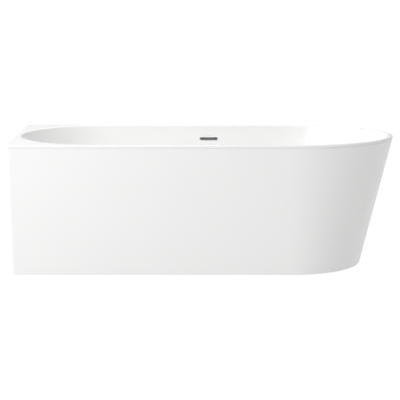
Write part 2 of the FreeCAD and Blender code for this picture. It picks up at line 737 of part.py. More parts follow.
def screw_up(name, across, along, under):
    """A screw driven upwards, its head under a face at the level under."""
    head = part_cylinder(
        name + "_head",
        "sizes.screw_head",
        "sizes.screw_head_height",
        across,
        along,
        "%s - sizes.screw_head_height" % under,
    )
    shank = part_cylinder(
        name + "_shank", "sizes.screw_radius", "sizes.screw_length", across, along, under
    )
    screw = doc.addObject("Part::MultiFuse", name)
    screw.Shapes = [head, shank]
    return screw


def hole_up(name, across, along, under):
    """The hole that such a screw passes through, a little wider than its shank."""
    return part_cylinder(
        name,
        "sizes.screw_radius + sizes.joint_clearance",
        "sizes.screw_length + sizes.joint_clearance",
        across,
        along,
        under,
    )


def swap(label, feature):
    """Let a new last feature stand for a piece under the same name."""
    old = [thing for thing in PIECES if thing.Label == label][0]
    PIECES.remove(old)
    old.Label = label + "_blank"
    return piece(feature, label)


def cut_by(label, base, tools):
    """Cut a blank by tools, and let the result be the piece of that name."""
    tool = tools[0]
    if len(tools) > 1:
        tool = doc.addObject("Part::MultiFuse", label + "_tools")
        tool.Shapes = tools
    result = doc.addObject("Part::Cut", label + "_cut")
    result.Base = base
    result.Tool = tool
    return swap(label, result)


def drilled(label, holes):
    """Drill an existing piece."""
    return cut_by(label, [thing for thing in PIECES if thing.Label == label][0], holes)


# Bridge over the middle foot: a sheet steel hat that is screwed under the board
hat_half = "(sizes.bridge_length / 2)"
hat_inner = "(%s - sizes.bridge_flange)" % hat_half
bridge = prism(
    "foot_bridge",
    "YZ_Plane",
    [
        ("-" + hat_half, BOARD_BOTTOM),
        ("-" + hat_half, BOARD_BOTTOM + " - sizes.bridge_sheet"),
        ("-%s" % hat_inner, BOARD_BOTTOM + " - sizes.bridge_sheet"),
        ("-%s" % hat_inner, BRIDGE_BOTTOM),
        (hat_inner, BRIDGE_BOTTOM),
        (hat_inner, BOARD_BOTTOM + " - sizes.bridge_sheet"),
        (hat_half, BOARD_BOTTOM + " - sizes.bridge_sheet"),
        (hat_half, BOARD_BOTTOM),
        ("%s - sizes.bridge_sheet" % hat_inner, BOARD_BOTTOM),
        ("%s - sizes.bridge_sheet" % hat_inner, BRIDGE_BOTTOM + " + sizes.bridge_sheet"),
        ("-%s + sizes.bridge_sheet" % hat_inner, BRIDGE_BOTTOM + " + sizes.bridge_sheet"),
        ("-%s + sizes.bridge_sheet" % hat_inner, BOARD_BOTTOM),
    ],
    "sizes.bridge_width",
)
place(bridge, across="sizes.middle_foot")

BRIDGE_SCREW_Y = "(%s - sizes.bridge_flange / 2)" % hat_half
screws = []
bridge_holes = [
    part_cylinder(
        "bridge_rod_hole",
        "sizes.rod_radius + sizes.rod_clearance",
        "2 * sizes.bridge_sheet",
        "sizes.middle_foot",
        0,
        BRIDGE_BOTTOM + " - sizes.bridge_sheet / 2",
    )
]
board_holes = []
for side in (-1, 1):
    along = "%d * %s" % (side, BRIDGE_SCREW_Y)
    under = BOARD_BOTTOM + " - sizes.bridge_sheet"
    screws.append(screw_up("bridge_screw", "sizes.middle_foot", along, under))
    bridge_holes.append(hole_up("bridge_screw_hole", "sizes.middle_foot", along, under))
    board_holes.append(hole_up("board_hole", "sizes.middle_foot", along, under))

# Long screws hold each cross rail to the board, with their heads inside the rail's lower wall
FLOOR_SIDE = "(%s - sizes.rim_width - sizes.side_lean - sizes.floor_round)" % HALF_DEPTH
RAIL_SCREW_Y = "(%s - sizes.board_margin - sizes.screw_end)" % FLOOR_SIDE
RAIL_ROOF = "(%s - sizes.rail_wall)" % BOARD_BOTTOM
rail_holes = {"cross_rail_head": [], "cross_rail_foot": []}
for label, across in (("cross_rail_head", HEAD_RAIL), ("cross_rail_foot", FOOT_RAIL)):
    for side in (-1, 1):
        along = "%d * %s" % (side, RAIL_SCREW_Y)
        screws.append(screw_up("rail_screw", across, along, RAIL_ROOF))
        board_holes.append(hole_up("board_hole", across, along, RAIL_ROOF))
        rail_holes[label].append(hole_up("rail_hole", across, along, RAIL_ROOF))
        access = part_cylinder(
            "access_hole",
            "sizes.screw_head + sizes.access_clearance",
            "sizes.rail_wall * 2",
            across,
            along,
            RAIL_BOTTOM + " - sizes.rail_wall / 2",
        )
        rail_holes[label].append(access)
compound("board_screws", screws)
drilled("foot_bridge", bridge_holes)
drilled("base_board", board_holes)

# Angle brackets tie the cross rails to the batten, and the nose rail to the rib
brackets = []
bracket_screws = []
batten_holes = []
for label, across in (("cross_rail_head", HEAD_RAIL), ("cross_rail_foot", FOOT_RAIL)):
    plate_left = "%s - %s - sizes.bracket_sheet" % (across, RAIL_HALF)
    lower = "%s + (sizes.rail_size - sizes.bracket_width) / 2" % RAIL_BOTTOM
    side_leg = part_box(
        "bracket_side",
        plate_left,
        BATTEN_BACK,
        lower,
        "sizes.bracket_sheet",
        "sizes.bracket_leg",
        "sizes.bracket_width",
    )
    batten_leg = part_box(
        "bracket_batten",
        "%s - sizes.bracket_leg + sizes.bracket_sheet" % plate_left,
        BATTEN_BACK,
        lower,
        "sizes.bracket_leg",
        "sizes.bracket_sheet",
        "sizes.bracket_width",
    )
    angle = doc.addObject("Part::MultiFuse", "bracket")
    angle.Shapes = [side_leg, batten_leg]
    screw_x = "%s - sizes.bracket_leg / 2" % plate_left
    screw_z = "%s + sizes.bracket_width / 2" % lower
    screw = screw_up("bracket_screw", 0, 0, 0)
    hole = part_cylinder(
        "bracket_hole",
        "sizes.screw_radius + sizes.joint_clearance",
        "sizes.screw_length + sizes.joint_clearance",
        0,
        0,
        0,
    )
    for tool in (screw, hole):
        tool.Placement = FreeCAD.Placement(Vector(), FreeCAD.Rotation(Vector(1, 0, 0), 90))
        place(tool, screw_x, "%s + sizes.bracket_sheet" % BATTEN_BACK, screw_z)
    bracket = doc.addObject("Part::Cut", "bracket_drilled")
    bracket.Base = angle
    bracket.Tool = hole
    brackets.append(bracket)
    bracket_screws.append(screw)
    batten_holes.append(hole)
compound("apron_brackets", brackets)
compound("bracket_screws", bracket_screws)
drilled("front_batten", batten_holes)

rib_x = "(%s - sizes.nose_rail_lap / 2)" % NOSE_RAIL_END
rib_screw = screw_up("nose_rib_screw", rib_x, 0, RAIL_ROOF)
rib_hole = hole_up("rib_hole", rib_x, 0, RAIL_ROOF)
rib_access = part_cylinder(
    "rib_access",
    "sizes.screw_head + sizes.access_clearance",
    "sizes.rail_wall * 2",
    rib_x,
    0,
    "%s - sizes.rail_wall / 2" % RAIL_BOTTOM,
)
compound("nose_rib_screws", [rib_screw])
drilled("nose_rib", [rib_hole])
drilled("nose_rail", [rib_hole, rib_access])
for label, holes in rail_holes.items():
    drilled(label, holes)


# ---------------------------------------------------------------------------------------------------
# Levelling feet: the nuts turn on a rail, and the rod with its pad goes up or down through them
# ---------------------------------------------------------------------------------------------------
def levelling_foot(name, across, along, seat_bottom, seat_top):
    rod_top = "(%s + sizes.nut_gap + sizes.nut_height + sizes.rod_stand_up)" % seat_top
    rod = revolve(
        name + "_rod",
        [
            (0, "sizes.rod_seat"),
            ("sizes.rod_radius - sizes.rod_chamfer", "sizes.rod_seat"),
            ("sizes.rod_radius", "sizes.rod_seat + sizes.rod_chamfer"),
            ("sizes.rod_radius", rod_top + " - sizes.rod_chamfer"),
            ("sizes.rod_radius - sizes.rod_chamfer", rod_top),
            (0, rod_top),
        ],
    )
    bore = "(sizes.rod_radius + sizes.joint_clearance)"
    pad_body = revolve(
        name + "_pad",
        [
            (0, 0),
            ("sizes.pad_radius - sizes.pad_edge", 0),
            ("sizes.pad_radius", "sizes.pad_edge"),
            ("sizes.pad_radius", "sizes.pad_sole"),
            ("sizes.pad_neck", "sizes.pad_sole + sizes.pad_slope"),
            ("sizes.pad_neck", "sizes.pad_height"),
            (bore, "sizes.pad_height"),
            (bore, "sizes.rod_seat"),
            (0, "sizes.rod_seat"),
        ],
    )
    place(rod, across, along)
    place(pad_body, across, along)
    nuts = []
    for level in ("%s - sizes.nut_gap - sizes.nut_height" % seat_bottom, "%s + sizes.nut_gap" % seat_top):
        hexagon = doc.addObject("Part::Prism", name + "_hexagon")
        hexagon.Polygon = 6
        hexagon.setExpression("Circumradius", "sizes.nut_flats / 2 / cos(30)")
        hexagon.setExpression("Height", "sizes.nut_height")
        place(hexagon, across, along, level)
        bore_tool = part_cylinder(
            name + "_nut_bore",
            "sizes.rod_radius + sizes.thread_clearance",
            "sizes.nut_height + 2 * sizes.merge",
            across,
            along,
            "%s - sizes.merge" % level,
        )
        nut = doc.addObject("Part::Cut", name + "_nut")
        nut.Base = hexagon
        nut.Tool = bore_tool
        nuts.append(nut)
    compound(name + "_nuts", nuts)


for name, across in (("head", HEAD_RAIL), ("nose", FOOT_RAIL)):
    for word, side in (("front", -1), ("rear", 1)):
        label = "foot_%s_%s" % (name, word)
        levelling_foot(label, across, "%d * sizes.foot_spread" % side, RAIL_BOTTOM, BOARD_BOTTOM)
levelling_foot(
    "foot_middle", "sizes.middle_foot", 0, BRIDGE_BOTTOM, "(%s + sizes.bridge_sheet)" % BRIDGE_BOTTOM
)


# ---------------------------------------------------------------------------------------------------
# Wall anchors: a shelf under the lip and a plate on the wall with one screw hole
# ---------------------------------------------------------------------------------------------------
def wall_anchor(label, across, on_head_wall=False):
    lip = LIP_BOTTOM
    wall = "-%s" % HALF_LENGTH if on_head_wall else HALF_DEPTH
    inwards = "+" if on_head_wall else "-"
    section = [
        (wall, lip),
        (wall, "%s - sizes.anchor_height" % lip),
        ("%s %s sizes.anchor_sheet" % (wall, inwards), "%s - sizes.anchor_height" % lip),
        ("%s %s sizes.anchor_sheet" % (wall, inwards), "%s - sizes.anchor_sheet" % lip),
        ("%s %s sizes.anchor_hook" % (wall, inwards), "%s - sizes.anchor_sheet" % lip),
        ("%s %s sizes.anchor_hook" % (wall, inwards), lip),
    ]
    role = "XZ_Plane" if on_head_wall else "YZ_Plane"
    other_role = "YZ_Plane" if on_head_wall else "XZ_Plane"
    body = prism(label, role, section, "sizes.anchor_width")
    doc.recompute()
    sketch = draw(body, other_role, [], [(0, "%s - sizes.anchor_hole_drop" % lip, "sizes.anchor_hole")])
    pocket(body, sketch, "2 * %s" % (HALF_LENGTH if on_head_wall else HALF_DEPTH))
    if not on_head_wall:
        place(body, across=across)
    return body


wall_anchor("wall_anchor_head_end", "sizes.head_anchor")
wall_anchor("wall_anchor_middle", "sizes.mid_anchor")
wall_anchor("wall_anchor_head_wall", 0, on_head_wall=True)

# ---------------------------------------------------------------------------------------------------
# Waste: flange, seals, body, and the click plug with its guide
# ---------------------------------------------------------------------------------------------------
FLANGE_TUBE_END = "(%s - sizes.flange_tube_length)" % FLANGE_BOTTOM
flange = revolve(
    "waste_flange",
    [
        ("sizes.flange_bore", FLANGE_TUBE_END),
        ("sizes.flange_tube", FLANGE_TUBE_END),
        ("sizes.flange_tube", FLANGE_BOTTOM),
        ("sizes.flange_radius", FLANGE_BOTTOM),
        ("sizes.flange_radius", "%s + sizes.flange_thickness / 2" % FLANGE_BOTTOM),
        ("sizes.flange_radius - sizes.flange_bevel", FLANGE_TOP),
        ("sizes.cap_seal_radius", FLANGE_TOP),
        ("sizes.flange_bore", "%s - sizes.flange_dish" % FLANGE_TOP),
    ],
)
washer_bore = "(sizes.flange_tube + sizes.joint_clearance)"
seal_edge = "(sizes.flange_radius - sizes.seal_margin)"
flange_seal = ring("flange_seal", washer_bore, seal_edge, FLOOR_TOP, FLANGE_BOTTOM)
seal_edge = "(sizes.body_flange_radius - sizes.seal_margin)"
body_seal = ring("body_seal", washer_bore, seal_edge, BODY_TOP, BOARD_TOP)

GUIDE_TOP = "(%s - sizes.guide_drop)" % FLANGE_BOTTOM
guide = ring(
    "plug_guide",
    "sizes.stem_radius + sizes.stem_clearance",
    "sizes.guide_radius",
    "%s - sizes.guide_length" % GUIDE_TOP,
    GUIDE_TOP,
)
spokes = []
for turn in (0, 120, 240):
    spoke = doc.addObject("Part::Box", "guide_spoke")
    spoke.setExpression("Length", "sizes.flange_bore - sizes.guide_radius + sizes.merge")
    spoke.setExpression("Width", "sizes.spoke_width")
    spoke.setExpression("Height", "sizes.spoke_height")
    middle = "sizes.spoke_width / 2"
    inner = "(sizes.guide_radius - sizes.merge)"
    spoke.Placement = FreeCAD.Placement(Vector(), FreeCAD.Rotation(UP, turn))
    turned = math.radians(turn)
    place(
        spoke,
        "sizes.drain_x + %s * cos(%d) + %s * sin(%d)" % (inner, turn, middle, turn),
        "%s * sin(%d) - %s * cos(%d)" % (inner, turn, middle, turn),
        "%s + sizes.spoke_lift" % FLANGE_TUBE_END,
    )
    spokes.append(spoke)

cap_bottom = "(%s + sizes.cap_rise)" % FLANGE_TOP
cap_top = "(%s + sizes.cap_dome)" % cap_bottom
stem_end = "(%s - sizes.guide_length + sizes.stem_short + sizes.cap_travel)" % GUIDE_TOP
plug = revolve(
    "waste_plug",
    [
        (0, stem_end),
        ("sizes.stem_radius", stem_end),
        ("sizes.stem_radius", cap_bottom),
        ("sizes.cap_radius", cap_bottom),
        ("sizes.cap_radius", "%s + sizes.cap_rim" % cap_bottom),
        ("sizes.cap_radius - sizes.cap_shoulder", "%s + sizes.cap_shoulder" % cap_bottom),
        ("sizes.cap_radius * sizes.cap_crown_share", "%s - sizes.cap_crown_drop" % cap_top),
        (0, cap_top),
    ],
)
plug_seal = ring(
    "plug_seal",
    "sizes.cap_seal_radius - sizes.seal_margin - sizes.cap_seal_width",
    "sizes.cap_seal_radius - sizes.seal_margin",
    "%s - sizes.cap_seal_thickness" % cap_bottom,
    cap_bottom,
)

body_bore = "(sizes.body_radius - sizes.body_wall)"
NECK_END = "(%s - sizes.body_flange - sizes.body_neck)" % BODY_TOP
waste_core = revolve(
    "waste_body",
    [
        (SPIGOT_BORE, SPIGOT_END),
        (SPIGOT, SPIGOT_END),
        (SPIGOT, BODY_FLOOR),
        ("sizes.body_radius", BODY_FLOOR),
        ("sizes.body_radius", "%s - sizes.body_flange" % BODY_TOP),
        ("sizes.body_flange_radius", "%s - sizes.body_flange" % BODY_TOP),
        ("sizes.body_flange_radius", BODY_TOP),
        (washer_bore, BODY_TOP),
        (washer_bore, NECK_END),
        (body_bore, NECK_END),
        (body_bore, "%s + sizes.body_wall" % BODY_FLOOR),
        (SPIGOT_BORE, "%s + sizes.body_wall" % BODY_FLOOR),
    ],
)
for fitting in (flange, flange_seal, body_seal, guide, plug, plug_seal, waste_core):
    place(fitting, across="sizes.drain_x")


wheel = doc.addObject("Part::MultiFuse", "plug_guide_wheel")
wheel.Shapes = [guide] + spokes
trim_radius = "(sizes.flange_bore - sizes.joint_clearance)"
tube_trim = part_cylinder("guide_trim", trim_radius, REACH, "sizes.drain_x", 0, 0)
trimmed = doc.addObject("Part::Common", "plug_guide_trimmed")
trimmed.Base = wheel
trimmed.Tool = tube_trim
swap("plug_guide", trimmed)


def along_y(name, radius, start, end, level):
    """A bar along the bath's depth, through the waste."""
    bar = doc.addObject("Part::Cylinder", name)
    bar.setExpression("Radius", str(radius))
    bar.setExpression("Height", "%s - (%s)" % (end, start))
    bar.Placement = FreeCAD.Placement(Vector(), FreeCAD.Rotation(Vector(1, 0, 0), -90))
    place(bar, "sizes.drain_x", start, level)
    return bar


port_outside = along_y(
    "port_outside",
    "sizes.port_radius + sizes.port_wall",
    "sizes.body_radius - sizes.port_sink",
    "sizes.port_reach",
    PORT_LEVEL,
)
port_inside = along_y("port_inside", "sizes.port_radius", 0, "sizes.port_reach + sizes.merge", PORT_LEVEL)
with_port = doc.addObject("Part::Fuse", "waste_body_with_port")
with_port.Base = waste_core
with_port.Tool = port_outside
bored = doc.addObject("Part::Cut", "waste_body_bored")
bored.Base = with_port
bored.Tool = port_inside
swap("waste_body", bored)


# ---------------------------------------------------------------------------------------------------
# Overflow: frame in the slot, seal, box behind the wall, hose and its nuts
# ---------------------------------------------------------------------------------------------------
def overflow_trim():
    """A thin frame in the slot, with a lip that lies on the leaning wall."""
    length = size("slot_length") - 2 * size("joint_clearance")
    height = size("slot_height") - 2 * size("joint_clearance")
    lip = size("trim_lip")
    wall = size("trim_wall")
    level = size("tub_height") - size("slot_drop")
    lean = size("side_lean") / size("basin_depth")
    face = size("tub_depth") / 2 - size("rim_width") - size("slot_drop") * lean
    thick = size("trim_lip_thickness")
    sleeve = slot_prism(length, height, face, face + size("trim_reach"))
    plate = slot_prism(length + 2 * lip, height + 2 * lip, face - height, face + height)
    band = Part.Face(
        Part.makePolygon(
            [
                Vector(-REACH, face + side * lean * length - offset, level + side * length)
                for side, offset in ((-1, thick), (1, thick), (1, 0), (-1, 0), (-1, thick))
            ]
        )
    ).extrude(Vector(2 * REACH, 0, 0))
    hole = slot_prism(length - 2 * wall, height - 2 * wall, face - length, face + length)
    behind = Part.Face(
        Part.makePolygon(
            [
                Vector(-REACH, face + side * lean * length + offset, level + side * length)
                for side, offset in ((-1, -TOUCH), (1, -TOUCH), (1, length), (-1, length), (-1, -TOUCH))
            ]
        )
    ).extrude(Vector(2 * REACH, 0, 0))
    return plate.common(band).fuse(sleeve.common(behind)).cut(hole).removeSplitter()


shaped("overflow_trim", overflow_trim())

SLOT_LEVEL = "(sizes.tub_height - sizes.slot_drop)"
SEAL_TOP = "(%s + sizes.slot_height)" % SLOT_LEVEL
SEAL_BOTTOM = "(%s - sizes.slot_height)" % SLOT_LEVEL
BOX_TOP = "(%s + sizes.box_above)" % SLOT_LEVEL
BOX_BACK = "(%s - sizes.box_from_wall)" % HALF_DEPTH


def leaning(offset, level):
    """A point of the section, offset from the outer face of the basin's wall at a level."""
    return ("%s + %s" % (wall_outside(level), offset), level)


seal_blank = prism(
    "overflow_seal",
    "YZ_Plane",
    [
        leaning("sizes.joint_clearance", SEAL_BOTTOM),
        leaning("sizes.joint_clearance + sizes.seal_thickness", SEAL_BOTTOM),
        leaning("sizes.joint_clearance + sizes.seal_thickness", SEAL_TOP),
        leaning("sizes.joint_clearance", SEAL_TOP),
    ],
    "sizes.box_length",
)
box_face = "(sizes.joint_clearance * 2 + sizes.seal_thickness)"
box_blank = prism(
    "overflow_box",
    "YZ_Plane",
    [
        leaning(box_face, BOX_BOTTOM),
        (BOX_BACK, BOX_BOTTOM),
        (BOX_BACK, BOX_TOP),
        leaning(box_face, BOX_TOP),
    ],
    "sizes.box_length",
)
box_room = prism(
    "overflow_box_room",
    "YZ_Plane",
    [
        leaning(box_face + " + sizes.box_wall", BOX_BOTTOM + " + sizes.box_wall"),
        (BOX_BACK + " - sizes.box_wall", BOX_BOTTOM + " + sizes.box_wall"),
        (BOX_BACK + " - sizes.box_wall", BOX_TOP + " - sizes.box_wall"),
        leaning(box_face + " + sizes.box_wall", BOX_TOP + " - sizes.box_wall"),
    ],
    "sizes.box_length - 2 * sizes.box_wall",
)
PIECES.remove(box_room)
for blank in (seal_blank, box_blank, box_room):
    place(blank, across="sizes.drain_x")

slot_tool = doc.addObject("Part::Feature", "slot_tool")
slot_tool.Shape = slot_prism(
    size("slot_length"), size("slot_height"), 0, number(BOX_BACK) - size("box_wall") * 2
)
slot_tool.Placement = FreeCAD.Placement()
spigot_length = "(sizes.box_spigot + sizes.merge)"
outlet = part_cylinder(
    "outlet", "sizes.hose_radius", spigot_length, "sizes.drain_x", HOSE_Y, HOSE_TOP
)
outlet_bore = part_cylinder(
    "outlet_bore",
    "sizes.hose_radius - sizes.box_wall",
    "sizes.box_spigot + sizes.box_wall + 2 * sizes.merge",
    "sizes.drain_x",
    HOSE_Y,
    "%s - sizes.merge" % HOSE_TOP,
)


cut_by("overflow_seal", seal_blank, [slot_tool])
box_with_outlet = doc.addObject("Part::Fuse", "overflow_box_with_outlet")
box_with_outlet.Base = box_blank
box_with_outlet.Tool = outlet
cut_by("overflow_box", box_with_outlet, [box_room, slot_tool, outlet_bore])


def bent_tube(points, radius, outer, wall):
    """A tube along straight runs through points, joined by tangent arcs of one radius."""
    edges = []
    start = points[0]
    for before, corner, after in zip(points, points[1:], points[2:]):
        arrive = (corner - before).normalize()
        leave = (after - corner).normalize()
        half_turn = arrive.getAngle(leave) / 2
        back = radius * math.tan(half_turn)
        first = corner - arrive * back
        last = corner + leave * back
        inward = (leave - arrive).normalize()
        middle = corner + inward * (radius / math.cos(half_turn) - radius)
        if (first - start).Length > TOUCH:
            edges.append(straight(start, first))
        edges.append(Part.Arc(first, middle, last).toShape())
        start = last
    edges.append(straight(start, points[-1]))
    path = Part.Wire(edges)
    heading = (points[1] - points[0]).normalize()
    solids = []
    for section_radius in (outer, outer - wall):
        circle = Part.Wire(Part.makeCircle(section_radius, points[0], heading))
        solids.append(path.makePipeShell([circle], True, False))
    tube = solids[0].cut(solids[1])
    section = math.pi * (outer**2 - (outer - wall) ** 2)
    print(
        "tube: bend radius %.1f, length %.1f, volume %.4f of section x length"
        % (radius, path.Length, tube.Volume / (section * path.Length))
    )
    return tube


def hose():
    across = size("drain_x")
    level = number(PORT_LEVEL)
    top = Vector(across, number(HOSE_Y), number(HOSE_TOP) - size("joint_clearance"))
    corner = Vector(across, number(HOSE_Y), level)
    end = Vector(across, size("port_reach") + size("joint_clearance"), level)
    shorter = min((top - corner).Length, (end - corner).Length)
    bend = size("hose_share") * shorter
    return bent_tube([top, corner, end], bend, size("hose_radius"), size("hose_wall"))


shaped("overflow_hose", hose())

nut_bore = "(sizes.hose_radius + sizes.joint_clearance)"
hose_nut_top = ring(
    "hose_nut_upper",
    nut_bore,
    "%s + sizes.hose_collar_wall" % nut_bore,
    "%s - sizes.hose_nut_length / 2" % HOSE_TOP,
    "%s + sizes.hose_nut_length / 2" % HOSE_TOP,
)
place(hose_nut_top, "sizes.drain_x", HOSE_Y)
port_outer = "(sizes.port_radius + sizes.port_wall + sizes.joint_clearance)"
NUT_START = "(sizes.port_reach - sizes.hose_nut_lap)"
hose_nut_low = revolve(
    "hose_nut_lower",
    [
        (port_outer, NUT_START),
        ("%s + sizes.hose_nut_wall" % port_outer, NUT_START),
        ("%s + sizes.hose_nut_wall" % port_outer, NUT_START + " + sizes.hose_nut_length"),
        (nut_bore, NUT_START + " + sizes.hose_nut_length"),
        (nut_bore, "sizes.port_reach + sizes.joint_clearance"),
        (port_outer, "sizes.port_reach + sizes.joint_clearance"),
    ],
    axis="Y",
)
place(hose_nut_low, "sizes.drain_x", 0, PORT_LEVEL)


# ---------------------------------------------------------------------------------------------------
# Trap under the waste, with its nuts and seals
# ---------------------------------------------------------------------------------------------------
def trap_tube():
    """Down from the waste, round a U, up to the weir, and level towards the rounded end."""
    across = size("drain_x")
    bend = size("trap_bend")
    low = size("trap_bottom") + size("trap_radius")
    weir = size("trap_weir")
    points = [
        Vector(across, 0, number(TRAP_TOP)),
        Vector(across, 0, low),
        Vector(across + 2 * bend, 0, low),
        Vector(across + 2 * bend, 0, weir),
        Vector(across + size("trap_reach"), 0, weir),
    ]
    return bent_tube(points, bend - size("trap_easing"), size("trap_radius"), size("trap_wall"))


def socket(start, heading, clearance):
    """A collar with a stop, bored for a pipe, on the end of the trap's tube."""
    outer = size("trap_radius") + size("trap_socket")
    collar = Part.makeCylinder(outer, size("trap_socket_length"), start, heading)
    bore = Part.makeCylinder(size("pipe_radius") + clearance, size("trap_socket_length"), start, heading)
    return collar, bore


def trap():
    tube = trap_tube()
    end = Vector(size("drain_x") + size("trap_reach"), 0, size("trap_weir"))
    stop = size("trap_wall")
    collar, bore = socket(end - Vector(stop, 0, 0), Vector(1, 0, 0), size("joint_clearance"))
    bore.translate(Vector(stop, 0, 0))
    top = Vector(size("drain_x"), 0, number(TRAP_TOP) - size("trap_wall"))
    flange_disc = Part.makeCylinder(number(SPIGOT), size("trap_wall"), top)
    bore_radius = size("trap_radius") - size("trap_wall")
    inner = Part.makeCylinder(bore_radius, size("trap_wall"), top)
    hollow = Part.makeCylinder(bore_radius, stop, end - Vector(stop, 0, 0), Vector(1, 0, 0))
    return tube.fuse([collar, flange_disc]).cut([bore, inner, hollow]).removeSplitter()


shaped("trap", trap())
trap_seal = ring("trap_seal", SPIGOT_BORE, SPIGOT, TRAP_TOP, SPIGOT_END)
inlet_bore = "(%s + sizes.joint_clearance)" % SPIGOT
inlet_nut_bottom = "(%s - sizes.trap_wall - sizes.joint_clearance - sizes.trap_nut_end)" % TRAP_TOP
inlet_nut_top = "(%s - sizes.trap_nut_clear)" % BODY_FLOOR
trap_nut = revolve(
    "trap_inlet_nut",
    [
        ("sizes.trap_radius + sizes.joint_clearance", inlet_nut_bottom),
        ("%s + sizes.trap_nut_wall" % inlet_bore, inlet_nut_bottom),
        ("%s + sizes.trap_nut_wall" % inlet_bore, inlet_nut_top),
        (inlet_bore, inlet_nut_top),
        (inlet_bore, "%s + sizes.trap_nut_end" % inlet_nut_bottom),
        ("sizes.trap_radius + sizes.joint_clearance", "%s + sizes.trap_nut_end" % inlet_nut_bottom),
    ],
)
SOCKET_END = "(sizes.trap_reach - sizes.trap_wall + sizes.trap_socket_length)"
SEAL_END = "(%s + sizes.seal_thickness)" % SOCKET_END
outlet_bore_radius = "(sizes.pipe_radius + sizes.joint_clearance)"
outlet_seal = ring(
    "trap_outlet_seal",
    outlet_bore_radius,
    "sizes.trap_radius + sizes.trap_socket",
    SOCKET_END,
    SEAL_END,
    axis="X",
)
collar_radius = "(sizes.trap_radius + sizes.trap_socket + sizes.joint_clearance)"
outlet_nut = revolve(
    "trap_outlet_nut",
    [
        (collar_radius, "%s - sizes.trap_nut_length" % SEAL_END),
        ("%s + sizes.trap_nut_wall" % collar_radius, "%s - sizes.trap_nut_length" % SEAL_END),
        ("%s + sizes.trap_nut_wall" % collar_radius, "%s + sizes.trap_nut_end" % SEAL_END),
        (outlet_bore_radius, "%s + sizes.trap_nut_end" % SEAL_END),
        (outlet_bore_radius, SEAL_END),
        (collar_radius, SEAL_END),
    ],
    axis="X",
)
for fitting in (trap_seal, trap_nut):
    place(fitting, across="sizes.drain_x")
for fitting in (outlet_seal, outlet_nut):
    place(fitting, across="sizes.drain_x", up="sizes.trap_weir")

# ---------------------------------------------------------------------------------------------------
# Check every object, then write one file for each piece
# ---------------------------------------------------------------------------------------------------
doc.recompute()
for thing in doc.Objects:
    if "Invalid" in thing.State or "Error" in thing.State:
        raise RuntimeError("%s is %s" % (thing.Label, thing.State))
for thing in PIECES:
    if thing.Shape.isNull() or not thing.Shape.isValid() or thing.Shape.Volume < 1:
        raise RuntimeError(thing.Label + " has no valid shape")

os.makedirs("parts", exist_ok=True)
for thing in PIECES:
    thing.Shape.exportStep("parts/%s.step" % thing.Label)
    volume = thing.Shape.Volume / 1000
    print("%-26s %3d solids %10.1f cm3" % (thing.Label, len(thing.Shape.Solids), volume))
print(len(PIECES), "pieces")
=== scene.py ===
import bpy, bmesh, json, math
from mathutils import Matrix, Vector

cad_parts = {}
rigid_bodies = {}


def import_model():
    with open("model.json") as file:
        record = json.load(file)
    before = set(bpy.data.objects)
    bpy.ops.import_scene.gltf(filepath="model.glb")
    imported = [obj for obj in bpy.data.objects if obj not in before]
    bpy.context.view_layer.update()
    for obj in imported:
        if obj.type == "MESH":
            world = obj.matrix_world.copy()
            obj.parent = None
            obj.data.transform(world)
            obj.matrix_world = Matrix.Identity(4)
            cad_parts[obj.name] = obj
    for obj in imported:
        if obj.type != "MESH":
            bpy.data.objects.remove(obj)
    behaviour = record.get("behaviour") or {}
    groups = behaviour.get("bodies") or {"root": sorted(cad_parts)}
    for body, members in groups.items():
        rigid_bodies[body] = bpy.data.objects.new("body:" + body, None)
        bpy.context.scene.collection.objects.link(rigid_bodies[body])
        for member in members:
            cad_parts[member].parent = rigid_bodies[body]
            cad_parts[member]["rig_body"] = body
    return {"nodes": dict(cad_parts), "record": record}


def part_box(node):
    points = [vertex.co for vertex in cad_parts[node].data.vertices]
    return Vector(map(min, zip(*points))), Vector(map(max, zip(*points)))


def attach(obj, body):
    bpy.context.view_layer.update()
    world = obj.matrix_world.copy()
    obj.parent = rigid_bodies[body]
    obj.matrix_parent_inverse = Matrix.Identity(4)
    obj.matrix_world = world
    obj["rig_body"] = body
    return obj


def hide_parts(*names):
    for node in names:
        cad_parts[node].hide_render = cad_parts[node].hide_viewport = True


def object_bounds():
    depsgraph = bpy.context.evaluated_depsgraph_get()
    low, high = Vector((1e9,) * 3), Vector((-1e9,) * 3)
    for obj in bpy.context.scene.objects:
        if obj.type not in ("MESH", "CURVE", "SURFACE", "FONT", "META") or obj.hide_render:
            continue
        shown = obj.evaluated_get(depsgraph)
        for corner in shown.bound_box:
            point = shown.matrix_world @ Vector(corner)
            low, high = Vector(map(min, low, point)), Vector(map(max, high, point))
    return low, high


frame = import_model()
nodes = frame["nodes"]
cad_box = [list(corner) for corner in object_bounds()]
low, high = (Vector(corner) for corner in cad_box)
scene = bpy.context.scene
SLOTS = {entry["slot"]: entry["base_color"] for entry in frame["record"]["materials"]}

# Lengths that the CAD boxes don't give
MM = 0.001
ROD_PITCH = 1.75 * MM
ROD_THREAD = 1.0 * MM
NUT_FLATS = 19 * MM
NUT_BORE = 6.05 * MM
NUT_COUNTERSINK = 0.6 * MM
HOSE_BORE = 13.75 * MM
PORT_BORE = 15.75 * MM
TRAP_BORE = 20.25 * MM
SPIGOT_BORE = 22.25 * MM
COLLAR_BORE = 24.25 * MM
STEM = 3.0 * MM
FLANGE_BORE = 20.0 * MM
FLANGE_TUBE = 23.0 * MM
FLANGE_SEAT = 27.0 * MM
FLANGE_DISH = 1.0 * MM
FLANGE_ROLL = 2.0 * MM
POINT = 0.05 * MM
SCREW_HEAD = 2.2 * MM
SCREW_PITCH = 1.6 * MM
SCREW_THREAD = 0.55 * MM


# --------------------------------------------------------------------------------------
# Studio: camera, lights, floor
# --------------------------------------------------------------------------------------
def linked(data, name):
    thing = bpy.data.objects.new(name, data)
    scene.collection.objects.link(thing)
    return thing


